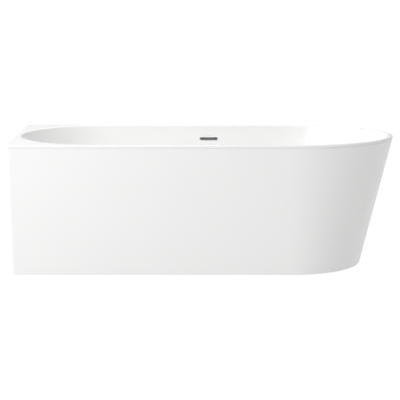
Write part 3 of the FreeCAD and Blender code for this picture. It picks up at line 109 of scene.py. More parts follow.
def area_light(name, place, target, size, power):
    data = bpy.data.lights.new(name, "AREA")
    data.shape = "RECTANGLE"
    data.size, data.size_y = size
    data.energy = power
    light = linked(data, name)
    light.location = place
    light.rotation_euler = (Vector(target) - Vector(place)).to_track_quat("-Z", "Y").to_euler()
    light.visible_camera = False


scene.view_settings.view_transform = "Standard"

# Place, tilt and lens were solved from the photo
TILT_DOWN = 10.1
camera = linked(bpy.data.cameras.new("camera"), "camera")
camera.data.lens = 118.9
camera.data.sensor_width = 36.0
camera.data.clip_end = 400.0
camera.location = ((low.x + high.x) / 2 - 0.022, low.y - 5.582, low.z + 1.338)
camera.rotation_euler = (math.radians(90.0 - TILT_DOWN), 0.0, 0.0)
scene.camera = camera

area_light("key", (low.x - 1.5, low.y - 2.3, 1.7), (low.x + 0.1, low.y, 0.35), (2.2, 2.2), 47.0)
area_light("top", (low.x - 0.2, 0.1, 2.8), (-0.1, 0.0, 0.5), (3.0, 2.4), 36.0)


def links_of(tree):
    def join(source, target):
        tree.links.new(source, target)
    return join


def studio_world():
    """Soft light, stronger from the left, from above and from behind; a plain white backdrop."""
    world = bpy.data.worlds.new("studio")
    world.use_nodes = True
    tree = world.node_tree
    tree.nodes.clear()
    join = links_of(tree)
    new = tree.nodes.new
    way = new("ShaderNodeTexCoord")
    split = new("ShaderNodeSeparateXYZ")
    join(way.outputs["Generated"], split.inputs[0])
    across = new("ShaderNodeMath")
    across.operation = "MULTIPLY_ADD"
    across.inputs[1].default_value = -0.26
    across.inputs[2].default_value = 0.13
    join(split.outputs["X"], across.inputs[0])
    sides = new("ShaderNodeMath")
    sides.operation = "MAXIMUM"
    sides.inputs[1].default_value = 0.01
    join(across.outputs[0], sides.inputs[0])
    total = sides.outputs[0]
    for axis, strength in (("Z", 1.12), ("Y", 0.50)):
        towards = new("ShaderNodeMath")
        towards.operation = "MAXIMUM"
        towards.inputs[1].default_value = 0.0
        join(split.outputs[axis], towards.inputs[0])
        both = new("ShaderNodeMath")
        both.operation = "MULTIPLY_ADD"
        both.inputs[1].default_value = strength
        join(towards.outputs[0], both.inputs[0])
        join(total, both.inputs[2])
        total = both.outputs[0]
    soft = new("ShaderNodeBackground")
    join(total, soft.inputs["Strength"])
    backdrop = new("ShaderNodeBackground")
    backdrop.inputs["Color"].default_value = (1, 1, 1, 1)
    ray = new("ShaderNodeLightPath")
    mix = new("ShaderNodeMixShader")
    join(ray.outputs["Is Camera Ray"], mix.inputs[0])
    join(soft.outputs[0], mix.inputs[1])
    join(backdrop.outputs[0], mix.inputs[2])
    out = new("ShaderNodeOutputWorld")
    join(mix.outputs[0], out.inputs["Surface"])
    scene.world = world


studio_world()


def floor():
    """A wide pale floor that lights the bath less than it shows to the camera."""
    mesh = bpy.data.meshes.new("floor")
    reach = 90.0
    corners = [(-reach, -reach, 0), (reach, -reach, 0), (reach, reach, 0), (-reach, reach, 0)]
    mesh.from_pydata(corners, [], [(0, 1, 2, 3)])
    plane = linked(mesh, "floor")
    paint = bpy.data.materials.new("studio_floor")
    paint.use_nodes = True
    shader = paint.node_tree.nodes["Principled BSDF"]
    shader.inputs["Base Color"].default_value = (0.14, 0.14, 0.14, 1)
    shader.inputs["Roughness"].default_value = 0.9
    shader.inputs["Specular IOR Level"].default_value = 0.0
    shader.inputs["Emission Color"].default_value = (1, 1, 1, 1)
    ray = paint.node_tree.nodes.new("ShaderNodeLightPath")
    glow = paint.node_tree.nodes.new("ShaderNodeMapRange")
    glow.inputs["To Min"].default_value = 0.77
    glow.inputs["To Max"].default_value = 0.92
    paint.node_tree.links.new(ray.outputs["Is Camera Ray"], glow.inputs["Value"])
    paint.node_tree.links.new(glow.outputs["Result"], shader.inputs["Emission Strength"])
    mesh.materials.append(paint)
    plane.location.z = low.z - 0.0002


floor()


# --------------------------------------------------------------------------------------
# Materials
# --------------------------------------------------------------------------------------
class Finish:
    """A node material in object space, in metres, with the steps that all finishes share."""

    def __init__(self, name, **sockets):
        self.material = bpy.data.materials.new(name)
        self.material.use_nodes = True
        self.tree = self.material.node_tree
        self.shader = self.tree.nodes["Principled BSDF"]
        self.place = self.node("ShaderNodeTexCoord").outputs["Object"]
        self.height = None
        for socket, value in sockets.items():
            self.shader.inputs[socket.replace("_", " ")].default_value = value

    def node(self, kind, **settings):
        made = self.tree.nodes.new(kind)
        for key, value in settings.items():
            setattr(made, key, value)
        return made

    def join(self, source, target):
        self.tree.links.new(source, target)

    def stretched(self, scale, turn=(0, 0, 0)):
        """Object space with a scale along each of three turned axes."""
        mapping = self.node("ShaderNodeMapping", vector_type="TEXTURE")
        mapping.inputs["Scale"].default_value = [1 / share for share in scale]
        mapping.inputs["Rotation"].default_value = [math.radians(angle) for angle in turn]
        self.join(self.place, mapping.inputs["Vector"])
        return mapping.outputs["Vector"]

    def noise(self, scale, detail=3.0, vector=None):
        made = self.node("ShaderNodeTexNoise")
        made.inputs["Scale"].default_value = scale
        made.inputs["Detail"].default_value = detail
        self.join(vector or self.place, made.inputs["Vector"])
        return made.outputs["Fac"]

    def cells(self, scale, output="Color", vector=None):
        made = self.node("ShaderNodeTexVoronoi")
        made.inputs["Scale"].default_value = scale
        self.join(vector or self.place, made.inputs["Vector"])
        return made.outputs[output]

    def spread(self, value, low_in, high_in, low_out, high_out):
        made = self.node("ShaderNodeMapRange")
        made.inputs["From Min"].default_value = low_in
        made.inputs["From Max"].default_value = high_in
        made.inputs["To Min"].default_value = low_out
        made.inputs["To Max"].default_value = high_out
        self.join(value, made.inputs["Value"])
        return made.outputs["Result"]

    def maths(self, operation, first, second):
        made = self.node("ShaderNodeMath", operation=operation)
        for socket, value in zip(made.inputs, (first, second)):
            if isinstance(value, (int, float)):
                socket.default_value = value
            else:
                self.join(value, socket)
        return made.outputs[0]

    def blend(self, factor, first, second, kind="MIX"):
        made = self.node("ShaderNodeMix", data_type="RGBA", blend_type=kind)
        sockets = (made.inputs[0], made.inputs[6], made.inputs[7])
        for socket, value in zip(sockets, (factor, first, second)):
            if isinstance(value, (int, float)):
                socket.default_value = value
            elif isinstance(value, (tuple, list)):
                socket.default_value = (*value[:3], 1)
            else:
                self.join(value, socket)
        return made.outputs[2]

    def colour(self, value):
        self.join(value, self.shader.inputs["Base Color"])

    def roughness(self, value):
        self.join(value, self.shader.inputs["Roughness"])

    def bump(self, value, distance, strength):
        made = self.node("ShaderNodeBump")
        made.inputs["Strength"].default_value = strength
        made.inputs["Distance"].default_value = distance
        self.join(value, made.inputs["Height"])
        if self.height is not None:
            self.join(self.height, made.inputs["Normal"])
        self.height = made.outputs["Normal"]
        self.join(self.height, self.shader.inputs["Normal"])


def tone(slot, share):
    return [min(1.0, channel * share) for channel in SLOTS[slot]]


def acrylic(name, backed=False):
    """Cast acrylic sheet: deep gloss, with the faint long waves of a vacuum-formed surface."""
    finish = Finish(name, IOR=1.49, Coat_Weight=0.22, Coat_Roughness=0.05)
    first, second = tone("white_acrylic", 0.945), tone("white_acrylic", 0.965)
    face = finish.blend(finish.noise(3.0, 2.0), first, second)
    gloss = finish.spread(finish.noise(9.0, 4.0), 0.3, 0.7, 0.10, 0.19)
    if backed:
        inside, fibre, sheen = laminate(finish)
        finish.colour(finish.blend(inside, face, fibre))
        mixed = finish.node("ShaderNodeMix")
        for socket, value in zip(mixed.inputs, (inside, gloss, sheen)):
            finish.join(value, socket)
        finish.roughness(mixed.outputs[0])
    else:
        finish.colour(face)
        finish.roughness(gloss)
        finish.bump(finish.noise(16.0, 2.0), 0.00008, 0.5)
    return finish.material


def strands(finish):
    """Chopped strands that lie every way, 0 to 1."""
    total = None
    for turn in ((0, 20, 5), (0, 78, 0), (0, -48, -8), (0, 38, 90), (0, -25, 84), (0, 4, 40)):
        long_way = finish.stretched((16, 620, 620), turn)
        streak = finish.spread(finish.noise(1.0, 1.0, vector=long_way), 0.56, 0.70, 0.0, 1.0)
        total = streak if total is None else finish.maths("MAXIMUM", total, streak)
    return total


def laminate(finish):
    """Hand-laid glass fibre, and where it shows on the apron: facing the bath's middle."""
    mat = strands(finish)
    pools = finish.noise(18.0, 4.0)
    resin = finish.blend(pools, tone("glass_fibre", 0.80), tone("glass_fibre", 1.0))
    fibre = finish.blend(finish.maths("MULTIPLY", mat, 0.55), resin, (0.90, 0.89, 0.85))
    sheen = finish.spread(pools, 0.3, 0.7, 0.30, 0.55)
    where = finish.node("ShaderNodeNewGeometry")
    flat = finish.node("ShaderNodeVectorMath", operation="MULTIPLY")
    flat.inputs[1].default_value = (1, 1, 0)
    finish.join(where.outputs["Position"], flat.inputs[0])
    facing = finish.node("ShaderNodeVectorMath", operation="DOT_PRODUCT")
    finish.join(flat.outputs[0], facing.inputs[0])
    finish.join(where.outputs["Normal"], facing.inputs[1])
    inside = finish.spread(facing.outputs["Value"], -0.02, -0.06, 0.0, 1.0)
    relief = finish.maths("MULTIPLY", finish.maths("ADD", mat, pools), inside)
    finish.bump(relief, 0.0006, 0.7)
    return inside, fibre, sheen


def glass_fibre():
    finish = Finish("glass_fibre", IOR=1.52)
    mat = strands(finish)
    pools = finish.noise(14.0, 5.0)
    drips = finish.noise(1.0, 2.0, vector=finish.stretched((26, 26, 5)))
    resin = finish.blend(pools, tone("glass_fibre", 0.76), tone("glass_fibre", 1.0))
    finish.colour(finish.blend(finish.maths("MULTIPLY", mat, 0.6), resin, (0.91, 0.90, 0.85)))
    finish.roughness(finish.spread(pools, 0.3, 0.7, 0.26, 0.52))
    finish.bump(drips, 0.0015, 0.5)
    finish.bump(mat, 0.0005, 0.8)
    return finish.material


def plain(slot, low_tone, high_tone, rough, grain, relief, **sockets):
    """Moulded, painted or cast: two tones, a roughness that wanders, and a fine grain."""
    finish = Finish(slot, **sockets)
    broad = finish.noise(grain / 24)
    fine = finish.noise(grain)
    finish.colour(finish.blend(broad, tone(slot, low_tone), tone(slot, high_tone)))
    finish.roughness(finish.spread(finish.maths("ADD", broad, fine), 0.6, 1.4, *rough))
    finish.bump(fine, relief, 0.6)
    return finish.material


def spangled(slot, scale, rough):
    """Zinc: crystals of slightly different brightness, and fine handling marks."""
    finish = Finish(slot, Metallic=1.0)
    crystals = finish.cells(scale)
    bright = finish.node("ShaderNodeRGBToBW")
    finish.join(crystals, bright.inputs[0])
    finish.colour(finish.blend(bright.outputs[0], tone(slot, 0.86), tone(slot, 1.12)))
    marks = finish.noise(1.0, 3.0, vector=finish.stretched((60, 900, 300), (20, 10, 35)))
    uneven = finish.maths("ADD", bright.outputs[0], marks)
    finish.roughness(finish.spread(uneven, 0.4, 1.5, *rough))
    finish.bump(marks, 0.00003, 0.5)
    return finish.material


def timber():
    finish = Finish("timber", IOR=1.45)
    bent = finish.node("ShaderNodeVectorMath", operation="ADD")
    shift = finish.node("ShaderNodeVectorMath", operation="SCALE")
    shift.inputs["Scale"].default_value = 0.012
    wander = finish.node("ShaderNodeTexNoise")
    wander.inputs["Scale"].default_value = 5.0
    finish.join(finish.stretched((0.4, 1, 1)), wander.inputs["Vector"])
    finish.join(wander.outputs["Color"], shift.inputs[0])
    finish.join(finish.place, bent.inputs[0])
    finish.join(shift.outputs[0], bent.inputs[1])
    rings = finish.node(
        "ShaderNodeTexWave", wave_type="RINGS", rings_direction="X", wave_profile="SAW"
    )
    rings.inputs["Scale"].default_value = 62.0
    rings.inputs["Distortion"].default_value = 1.5
    finish.join(bent.outputs[0], rings.inputs["Vector"])
    fibres = finish.noise(1.0, 4.0, vector=finish.stretched((12, 900, 900)))
    late = finish.spread(rings.outputs["Fac"], 0.55, 1.0, 0.0, 1.0)
    wood = finish.blend(late, tone("timber", 1.05), tone("timber", 0.68))
    pores = finish.maths("MULTIPLY", fibres, 0.5)
    finish.colour(finish.blend(pores, wood, tone("timber", 0.82), "MULTIPLY"))
    finish.roughness(finish.spread(fibres, 0.3, 0.7, 0.52, 0.74))
    finish.bump(fibres, 0.00025, 0.7)
    return finish.material


def plywood():
    """Veneers stacked in Z: bands on the edge, long grain on the face."""
    finish = Finish("plywood", IOR=1.45)
    split = finish.node("ShaderNodeSeparateXYZ")
    finish.join(finish.place, split.inputs[0])
    ply = finish.maths("MULTIPLY", split.outputs["Z"], 1.0 / 0.0030)
    band = finish.spread(finish.maths("FRACT", ply, 0.0), 0.46, 0.54, 0.0, 1.0)
    along = finish.noise(1.0, 4.0, vector=finish.stretched((260, 14, 260)))
    across = finish.noise(1.0, 4.0, vector=finish.stretched((14, 260, 260)))
    first = finish.blend(along, tone("plywood", 0.90), tone("plywood", 1.12))
    second = finish.blend(across, tone("plywood", 0.62), tone("plywood", 0.80))
    finish.colour(finish.blend(band, first, second))
    finish.roughness(finish.spread(along, 0.3, 0.7, 0.48, 0.68))
    finish.bump(along, 0.0002, 0.6)
    return finish.material


def base_board():
    """Pressed wood chips under a thin coat of resin."""
    finish = Finish("base_board", IOR=1.5, Coat_Weight=0.5, Coat_Roughness=0.22)
    chip_place = finish.stretched((1, 1.7, 2.2), (0, 0, 31))
    chips = finish.node("ShaderNodeRGBToBW")
    finish.join(finish.cells(240.0, vector=chip_place), chips.inputs[0])
    fine = finish.noise(900.0, 3.0)
    chip = finish.blend(chips.outputs[0], tone("base_board", 0.66), tone("base_board", 1.22))
    specks = finish.maths("MULTIPLY", fine, 0.35)
    finish.colour(finish.blend(specks, chip, tone("base_board", 0.55)))
    finish.roughness(finish.spread(chips.outputs[0], 0.0, 1.0, 0.38, 0.62))
    finish.bump(finish.cells(240.0, "Distance", vector=chip_place), 0.0003, 0.5)
    return finish.material


def metal(slot, rough, marks, relief):
    """Bright metal with a faint haze and fine lines from polishing or plating."""
    finish = Finish(slot, Metallic=1.0)
    haze = finish.noise(90.0, 4.0)
    lines = finish.noise(1.0, 3.0, vector=finish.stretched(marks, (12, 25, 40)))
    finish.colour(finish.blend(haze, tone(slot, 0.93), tone(slot, 1.05)))
    finish.roughness(finish.spread(finish.maths("ADD", haze, lines), 0.6, 1.4, *rough))
    finish.bump(lines, relief, 0.4)
    return finish.material


FINISHES = {
    "white_acrylic": acrylic("white_acrylic"),
    "glass_fibre": glass_fibre(),
    "white_adhesive": plain("white_adhesive", 0.96, 1.0, (0.38, 0.55), 420.0, 0.0001),
    "base_board": base_board(),
    "timber": timber(),
    "plywood": plywood(),
    "cradle_steel": plain(
        "cradle_steel", 0.94, 1.05, (0.34, 0.50), 1100.0, 0.00005, Coat_Weight=0.15
    ),
    "zinc_sheet": spangled("zinc_sheet", 170.0, (0.22, 0.42)),
    "fastener_steel": metal("fastener_steel", (0.20, 0.38), (300, 1400, 300), 0.00002),
    "black_plastic": plain("black_plastic", 0.85, 1.25, (0.38, 0.56), 1500.0, 0.00006),
    "chrome": metal("chrome", (0.04, 0.11), (80, 2200, 80), 0.000004),
    "brass": metal("brass", (0.16, 0.34), (200, 1800, 200), 0.00001),
    "black_rubber": plain("black_rubber", 0.8, 1.2, (0.58, 0.78), 900.0, 0.00008),
    "white_plastic": plain("white_plastic", 0.97, 1.02, (0.26, 0.40), 800.0, 0.00004),
    "grey_hose": plain("grey_hose", 0.94, 1.06, (0.30, 0.46), 700.0, 0.00005),
}
for entry in frame["record"]["subparts"]:
    mesh = nodes[entry["node"]].data
    mesh.materials.clear()
    mesh.materials.append(FINISHES[entry["material_slot"]])
nodes["apron"].data.materials[0] = acrylic("apron_acrylic", backed=True)


# --------------------------------------------------------------------------------------
# Pieces that stand for CAD nodes
# --------------------------------------------------------------------------------------
def slot_of(node):
    parts = frame["record"]["subparts"]
    return next(part["material_slot"] for part in parts if part["node"] == node)


def finished(bm, name, node, smooth):
    """Close a mesh, shade it, and let it stand for a CAD node on that node's body."""
    bmesh.ops.remove_doubles(bm, verts=bm.verts, dist=1e-7)
    bmesh.ops.recalc_face_normals(bm, faces=bm.faces)
    mesh = bpy.data.meshes.new(name)
    bm.to_mesh(mesh)
    bm.free()
    mesh.materials.append(FINISHES[slot_of(node)])
    mesh.shade_smooth()
    mesh.set_sharp_from_angle(angle=math.radians(smooth))
    thing = linked(mesh, name)
    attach(thing, nodes[node]["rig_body"])
    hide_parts(node)


def middle(node):
    lowest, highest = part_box(node)
    return (lowest + highest) / 2


def around(centre, radius, angle, height):
    return centre.x + radius * math.cos(angle), centre.y + radius * math.sin(angle), height


def skin(bm, rows, closed_rows):
    """Quads between rows of points; each row is a ring, and the last may join the first."""
    made = [[bm.verts.new(point) for point in row] for row in rows]
    count = len(made)
    for index in range(count if closed_rows else count - 1):
        first, second = made[index], made[(index + 1) % count]
        for step in range(len(first)):
            after = (step + 1) % len(first)
            bm.faces.new((first[step], first[after], second[after], second[step]))
    return made


def thread(bm, centre, bottom, top, radius, pitch, depth, sides=24):
    """A helical thread, cut flat and chamfered at both ends; levels are shares of a pitch."""
    root = radius - depth
    levels = ((0.0, root), (0.25, root), (0.5625, radius), (0.6875, radius))
    turns = int((top - bottom) / pitch) + 4
    start = bottom - 2 * pitch
    verts = []
    for turn in range(turns):
        for share, reach in levels:
            row = []
            for side in range(sides):
                angle = 2 * math.pi * side / sides
                height = start + pitch * (turn + share + side / sides)
                row.append(bm.verts.new(around(centre, reach, angle, height)))
            verts.append(row)
    once_round = len(levels)
    for index, (row, after) in enumerate(zip(verts, verts[1:])):
        for side in range(sides - 1):
            bm.faces.new((row[side], row[side + 1], after[side + 1], after[side]))
        if index + once_round + 1 < len(verts):
            next_row, next_after = verts[index + once_round], verts[index + once_round + 1]
            bm.faces.new((row[-1], next_row[0], next_after[0], after[-1]))
    for level, way in ((bottom, -1), (top, 1)):
        parts = bm.verts[:] + bm.edges[:] + bm.faces[:]
        plane = {"plane_co": (0, 0, level), "plane_no": (0, 0, way)}
        cut = bmesh.ops.bisect_plane(bm, geom=parts, clear_outer=True, **plane)
        edges = [part for part in cut["geom_cut"] if isinstance(part, bmesh.types.BMEdge)]
        bmesh.ops.contextual_create(bm, geom=edges)
    end_drop = 0.3 * MM
    for vert in bm.verts:
        inwards = min(vert.co.z - bottom, top - vert.co.z)
        away = Vector((vert.co.x - centre.x, vert.co.y - centre.y))
        limit = root + max(inwards, 0.0) - end_drop
        if away.length > limit:
            away = away.normalized() * limit
            vert.co.x, vert.co.y = centre.x + away.x, centre.y + away.y


def hexagon_nut(bm, centre, bottom, top, flats, bore, facets=60):
    """A nut with both ends chamfered as on a lathe, and a countersunk bore."""
    round_off = flats / 2 * 0.97
    rows = []
    for angle_step in range(facets):
        angle = 2 * math.pi * angle_step / facets
        turn = (angle + math.pi / 6) % (math.pi / 3) - math.pi / 6
        hexagon = flats / 2 / math.cos(turn)
        drop = (hexagon - round_off) * math.tan(math.radians(30))
        row = []
        for height, radius in (
            (bottom + NUT_COUNTERSINK, bore),
            (bottom, bore + NUT_COUNTERSINK),
            (bottom, round_off),
            (bottom + drop, hexagon),
            (top - drop, hexagon),
            (top, round_off),
            (top, bore + NUT_COUNTERSINK),
            (top - NUT_COUNTERSINK, bore),
        ):
            row.append(around(centre, radius, angle, height))
        rows.append(row)
    skin(bm, rows, True)


def ribbed_ring(bm, profile, ribs, deep, place, axis):
    """A nut for fingers: a turned profile of (radius, distance, share of the groove's depth)."""
    heading = Vector([float(letter == axis) for letter in "XYZ"])
    turn = heading.to_track_quat("Z", "Y")
    groove = (0.0, 0.0, 0.0, 0.25, 0.9, 1.0, 0.9, 0.25)
    each = len(groove)
    rows = []
    for step in range(ribs * each):
        phase = (step % each) / each
        fall = deep * groove[step % each]
        angle = 2 * math.pi * (step // each + phase) / ribs
        row = []
        for radius, distance, cut in profile:
            reach = radius - fall * cut
            spot = Vector((reach * math.cos(angle), reach * math.sin(angle), distance))
            row.append(place + turn @ spot)
        rows.append(row)
    skin(bm, rows, True)


def islands(node):
    """Boxes of the separate solids in a CAD node."""
    bm = bmesh.new()
    bm.from_mesh(nodes[node].data)
    bmesh.ops.remove_doubles(bm, verts=bm.verts, dist=1e-6)
    left = set(bm.verts)
    boxes = []
    while left:
        seed = left.pop()
        stack, group = [seed], [seed.co.copy()]
        while stack:
            for edge in stack.pop().link_edges:
                for vert in edge.verts:
                    if vert in left:
                        left.discard(vert)
                        stack.append(vert)
                        group.append(vert.co.copy())
        boxes.append((Vector(map(min, zip(*group))), Vector(map(max, zip(*group)))))
    bm.free()
    return sorted(boxes, key=lambda pair: tuple(pair[0]))


# Levelling feet
for entry in frame["record"]["subparts"]:
    node = entry["node"]
    if node.endswith("_rod"):
        lowest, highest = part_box(node)
        bm = bmesh.new()
        radius = (highest.x - lowest.x) / 2
        thread(bm, middle(node), lowest.z, highest.z, radius, ROD_PITCH, ROD_THREAD)
        finished(bm, node + "_threaded", node, 30.0)
    elif node.endswith("_nuts"):
        bm = bmesh.new()
        for lowest, highest in islands(node):
            hexagon_nut(bm, middle(node), lowest.z, highest.z, NUT_FLATS, NUT_BORE)
        finished(bm, node + "_chamfered", node, 25.0)


def hose():
    """Corrugated hose: down along the wall, round one bend, and level to the waste."""
    lowest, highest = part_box("overflow_hose")
    radius = (highest.x - lowest.x) / 2
    across = (highest.x + lowest.x) / 2
    wall_y, level = highest.y - radius, lowest.z + radius
    drop, run = highest.z - level, wall_y - lowest.y
    bend = 0.45 * min(drop, run)
    straight_down, arc = drop - bend, bend * math.pi / 2
    total = straight_down + arc + run - bend
    pitch, cuff = 5.0 * MM, 20 * MM

    def station(distance):
        if distance <= straight_down:
            return Vector((across, wall_y, highest.z - distance)), Vector((0, 0, -1))
        if distance <= straight_down + arc:
            angle = (distance - straight_down) / bend
            centre = Vector((across, wall_y - bend, level + bend))
            out = Vector((0, math.cos(angle), -math.sin(angle)))
            return centre + out * bend, Vector((0, -math.sin(angle), -math.cos(angle)))
        beyond = distance - straight_down - arc
        return Vector((across, wall_y - bend - beyond, level)), Vector((0, -1, 0))

    waves = int((total - 2 * cuff) / pitch)
    begin = (total - waves * pitch) / 2
    outside = [(0.0, radius), (begin - 1 * MM, radius)]
    wave_shape = ((0.08, 0.9), (0.25, 1.5), (0.42, 0.9), (0.52, 0.15), (0.75, 0.0), (0.98, 0.15))
    for wave in range(waves):
        for share, depth in wave_shape:
            outside.append((begin + (wave + share) * pitch, radius - depth * MM))
    outside += [(total - begin + 1 * MM, radius), (total, radius)]
    thin_wall, full_wall = 1.4 * MM, 1.8 * MM
    inside = []
    for distance, reach in reversed(outside):
        wall = thin_wall if reach < radius - 0.5 * MM else full_wall
        inside.append((distance, reach - wall))
    sides = 36
    rows = []
    for distance, reach in outside + inside:
        point, heading = station(distance)
        side = Vector((1, 0, 0))
        other = heading.cross(side)
        row = []
        for step in range(sides):
            angle = 2 * math.pi * step / sides
            row.append(point + (side * math.cos(angle) + other * math.sin(angle)) * reach)
        rows.append(row)
    bm = bmesh.new()
    skin(bm, rows, True)
    finished(bm, "overflow_hose_corrugated", "overflow_hose", 60.0)


hose()


def finger_nut(node, axis, bores, ribs, deep):
    """A ribbed nut as long and wide as its node; bores are (radius, share of the length)."""
    lowest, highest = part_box(node)
    index = "XYZ".index(axis)
    start, end = lowest[index], highest[index]
    other = (index + 1) % 3
    outer = (highest[other] - lowest[other]) / 2
    place = (lowest + highest) / 2
    place[index] = 0.0
    edge = 0.8 * MM
    run_in = 2.4 * edge
    profile = [
        (outer - edge - deep, start, 0),
        (outer - edge / 2, start + edge, 1),
        (outer, start + run_in, 1),
        (outer, end - run_in, 1),
        (outer - edge / 2, end - edge, 1),
        (outer - edge - deep, end, 0),
    ]
    for radius, at in bores:
        profile.append((radius, start + (end - start) * at, 0))
    bm = bmesh.new()
    ribbed_ring(bm, profile, ribs, deep, place, axis)
    finished(bm, node + "_ribbed", node, 32.0)


for node, axis, far_bore, step_at, near_bore, ribs, deep in (
    ("hose_nut_upper", "Z", HOSE_BORE, None, HOSE_BORE, 20, 0.7),
    ("hose_nut_lower", "Y", HOSE_BORE, 0.594, PORT_BORE, 22, 0.8),
    ("trap_inlet_nut", "Z", SPIGOT_BORE, 0.145, TRAP_BORE, 28, 1.0),
    ("trap_outlet_nut", "X", TRAP_BORE, 0.87, COLLAR_BORE, 30, 1.0),
):
    steps = [] if step_at is None else [(far_bore, step_at), (near_bore, step_at)]
    finger_nut(node, axis, [(far_bore, 1.0)] + steps + [(near_bore, 0.0)], ribs, deep * MM)


def turned(node, profile, name, capped=False, sides=96):
    """A profile of (radius, height) turned about the upright axis through a node."""
    centre = middle(node)
    rows = []
    for radius, height in profile:
        row = []
        for side in range(sides):
            angle = 2 * math.pi * side / sides
            row.append(around(centre, radius, angle, height))
        rows.append(row)
    bm = bmesh.new()
    made = skin(bm, rows, not capped)
    if capped:
        bm.faces.new(made[0])
        bm.faces.new(made[-1])
    finished(bm, name, node, 40.0)


def plug():
    """A stem under a polished cap, domed like a pebble and rounded a little at its edge."""
    lowest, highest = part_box("waste_plug")
    radius = (highest.x - lowest.x) / 2
    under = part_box("plug_seal")[1].z
    rim = under + 1.5 * MM
    steps = 24
    fullness = 2.6
    profile = [(POINT, highest.z)]
    for step in range(1, steps + 1):
        share = math.sin(math.pi / 2 * step / steps)
        rise = math.sqrt(max(0.0, 1 - share ** fullness))
        profile.append((radius * share, rim + (highest.z - rim) * rise))
    profile += [
        (radius, under + 0.5 * MM),
        (radius - 0.15 * MM, under + 0.15 * MM),
        (radius - 0.5 * MM, under),
        (STEM, under),
        (STEM, lowest.z + 0.5 * MM),
        (STEM - 0.5 * MM, lowest.z),
        (POINT, lowest.z),
    ]
    turned("waste_plug", profile, "waste_plug_domed", True)


def flange():
    """The waste's flange: a round-edged plate, dished a little, that rolls over into its tube."""
    lowest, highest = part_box("waste_flange")
    radius = (highest.x - lowest.x) / 2
    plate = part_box("flange_seal")[1].z
    top = highest.z
    edge = (top - plate) / 2
    profile = [
        (FLANGE_BORE, lowest.z),
        (FLANGE_TUBE, lowest.z),
        (FLANGE_TUBE, plate),
        (radius - 0.3 * MM, plate),
    ]
    edge_steps, roll_steps = 12, 8
    for step in range(edge_steps + 1):
        angle = math.pi * (step / edge_steps - 0.5)
        out, rise = edge * math.cos(angle), edge * math.sin(angle)
        profile.append((radius - edge + out, plate + edge + rise))
    profile.append((FLANGE_SEAT, top))
    for step in range(roll_steps + 1):
        angle = math.pi / 2 * step / roll_steps
        inwards = FLANGE_ROLL * (1 - math.sin(angle))
        down = FLANGE_DISH + FLANGE_ROLL * (1 - math.cos(angle))
        profile.append((FLANGE_BORE + inwards, top - down))
    turned("waste_flange", profile, "waste_flange_polished")


plug()
flange()


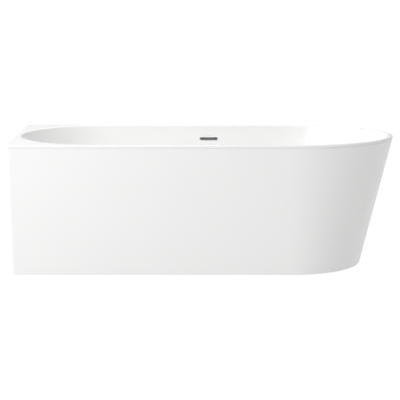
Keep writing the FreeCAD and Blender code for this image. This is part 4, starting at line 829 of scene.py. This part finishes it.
def screw_mesh(head_radius, head_height, shank_radius, shank_length):
    """A wood screw along +Z, head below zero: domed, with a cross recess, thread and point."""
    bm = bmesh.new()
    sides = 32
    dome = (
        (0.02, -1.0), (0.35, -1.0), (0.62, -0.95), (0.82, -0.80),
        (0.95, -0.52), (1.0, -0.22), (1.0, 0.0),
    )
    rows = []
    for radius, height in dome:
        row = []
        for step in range(sides):
            angle = 2 * math.pi * step / sides
            reach = head_radius * radius
            row.append((reach * math.cos(angle), reach * math.sin(angle), head_height * height))
        rows.append(row)
    made = skin(bm, rows, False)
    bm.faces.new(made[0])
    bm.faces.new(made[-1])
    mesh = bpy.data.meshes.new("screw_head")
    bmesh.ops.recalc_face_normals(bm, faces=bm.faces)
    bm.to_mesh(mesh)
    bm.free()
    head = linked(mesh, "screw_head")
    cutter_bm = bmesh.new()
    half, reach, deep = 0.16 * head_radius, 0.56 * head_radius, 0.62 * head_height
    arm = ((half, half), (half, reach), (-half, reach))
    quarter_turns = ((1, 0), (0, 1), (-1, 0), (0, -1))
    outline = [(x * c - y * s, x * s + y * c) for c, s in quarter_turns for x, y in arm]
    floor_row = [(x * 0.6, y * 0.6, -head_height + deep) for x, y in outline]
    mouth_row = [(x * 1.05, y * 1.05, -head_height * 1.2) for x, y in outline]
    made = skin(cutter_bm, [mouth_row, floor_row], False)
    cutter_bm.faces.new(made[0])
    cutter_bm.faces.new(made[1])
    bmesh.ops.recalc_face_normals(cutter_bm, faces=cutter_bm.faces)
    cutter_mesh = bpy.data.meshes.new("cross")
    cutter_bm.to_mesh(cutter_mesh)
    cutter_bm.free()
    cutter = linked(cutter_mesh, "cross")
    cut = head.modifiers.new("cross", "BOOLEAN")
    cut.operation = "DIFFERENCE"
    cut.solver = "EXACT"
    cut.object = cutter
    bpy.context.view_layer.update()
    graph = bpy.context.evaluated_depsgraph_get()
    result = bpy.data.meshes.new_from_object(head.evaluated_get(graph))
    for thing in (head, cutter):
        bpy.data.objects.remove(thing)
    bm = bmesh.new()
    bm.from_mesh(result)
    shank = bmesh.new()
    start = Vector((0, 0, 0))
    thread(shank, start, 0.0, shank_length, shank_radius, SCREW_PITCH, SCREW_THREAD, 16)
    point_length, blunt = 3 * MM, 0.12
    for vert in shank.verts:
        taper = min(1.0, max(blunt, (shank_length - vert.co.z) / point_length))
        vert.co.x *= taper
        vert.co.y *= taper
    shank_mesh = bpy.data.meshes.new("shank")
    shank.to_mesh(shank_mesh)
    shank.free()
    bm.from_mesh(shank_mesh)
    bm.to_mesh(result)
    bm.free()
    return result


def screws(node):
    """Each plain screw of a CAD node as a real one, driven from below, or from the rear."""
    bm = bmesh.new()
    for count, (lowest, highest) in enumerate(islands(node)):
        spans = highest - lowest
        index = max(range(3), key=lambda i: spans[i])
        width = min(spans)
        upright = index == 2
        heading = Vector((0, 0, 0))
        heading[index] = 1.0 if upright else -1.0
        template = screw_mesh(width / 2, SCREW_HEAD, width / 4, spans[index] - SCREW_HEAD)
        seat = (lowest + highest) / 2
        seat[index] = lowest[index] + SCREW_HEAD if upright else highest[index] - SCREW_HEAD
        spin = Matrix.Rotation(0.7 * count, 4, "Z")
        turn = heading.to_track_quat("Z", "Y").to_matrix().to_4x4() @ spin
        template.transform(Matrix.Translation(seat) @ turn)
        bm.from_mesh(template)
    finished(bm, node + "_cross_head", node, 35.0)


for node in ("board_screws", "bracket_screws", "nose_rib_screws"):
    screws(node)


# Edges of bent, sawn and moulded pieces are never sharp
for node, width, segments in (
    ("cross_rail_head", 1.6, 3), ("cross_rail_foot", 1.6, 3), ("nose_rail", 1.6, 3),
    ("front_batten", 1.0, 2), ("nose_rib", 0.5, 2), ("base_board", 0.5, 2),
    ("foot_bridge", 0.8, 2), ("apron_brackets", 0.5, 2), ("wall_anchor_head_end", 0.7, 2),
    ("wall_anchor_middle", 0.7, 2), ("wall_anchor_head_wall", 0.7, 2),
    ("rail_end_caps", 0.8, 3), ("overflow_box", 1.2, 3), ("overflow_seal", 0.4, 2),
):
    bevel = nodes[node].modifiers.new("edges", "BEVEL")
    bevel.width = width * MM
    bevel.segments = segments
    bevel.limit_method = "ANGLE"
    bevel.angle_limit = math.radians(50)
    bevel.use_clamp_overlap = True
    bevel.harden_normals = True
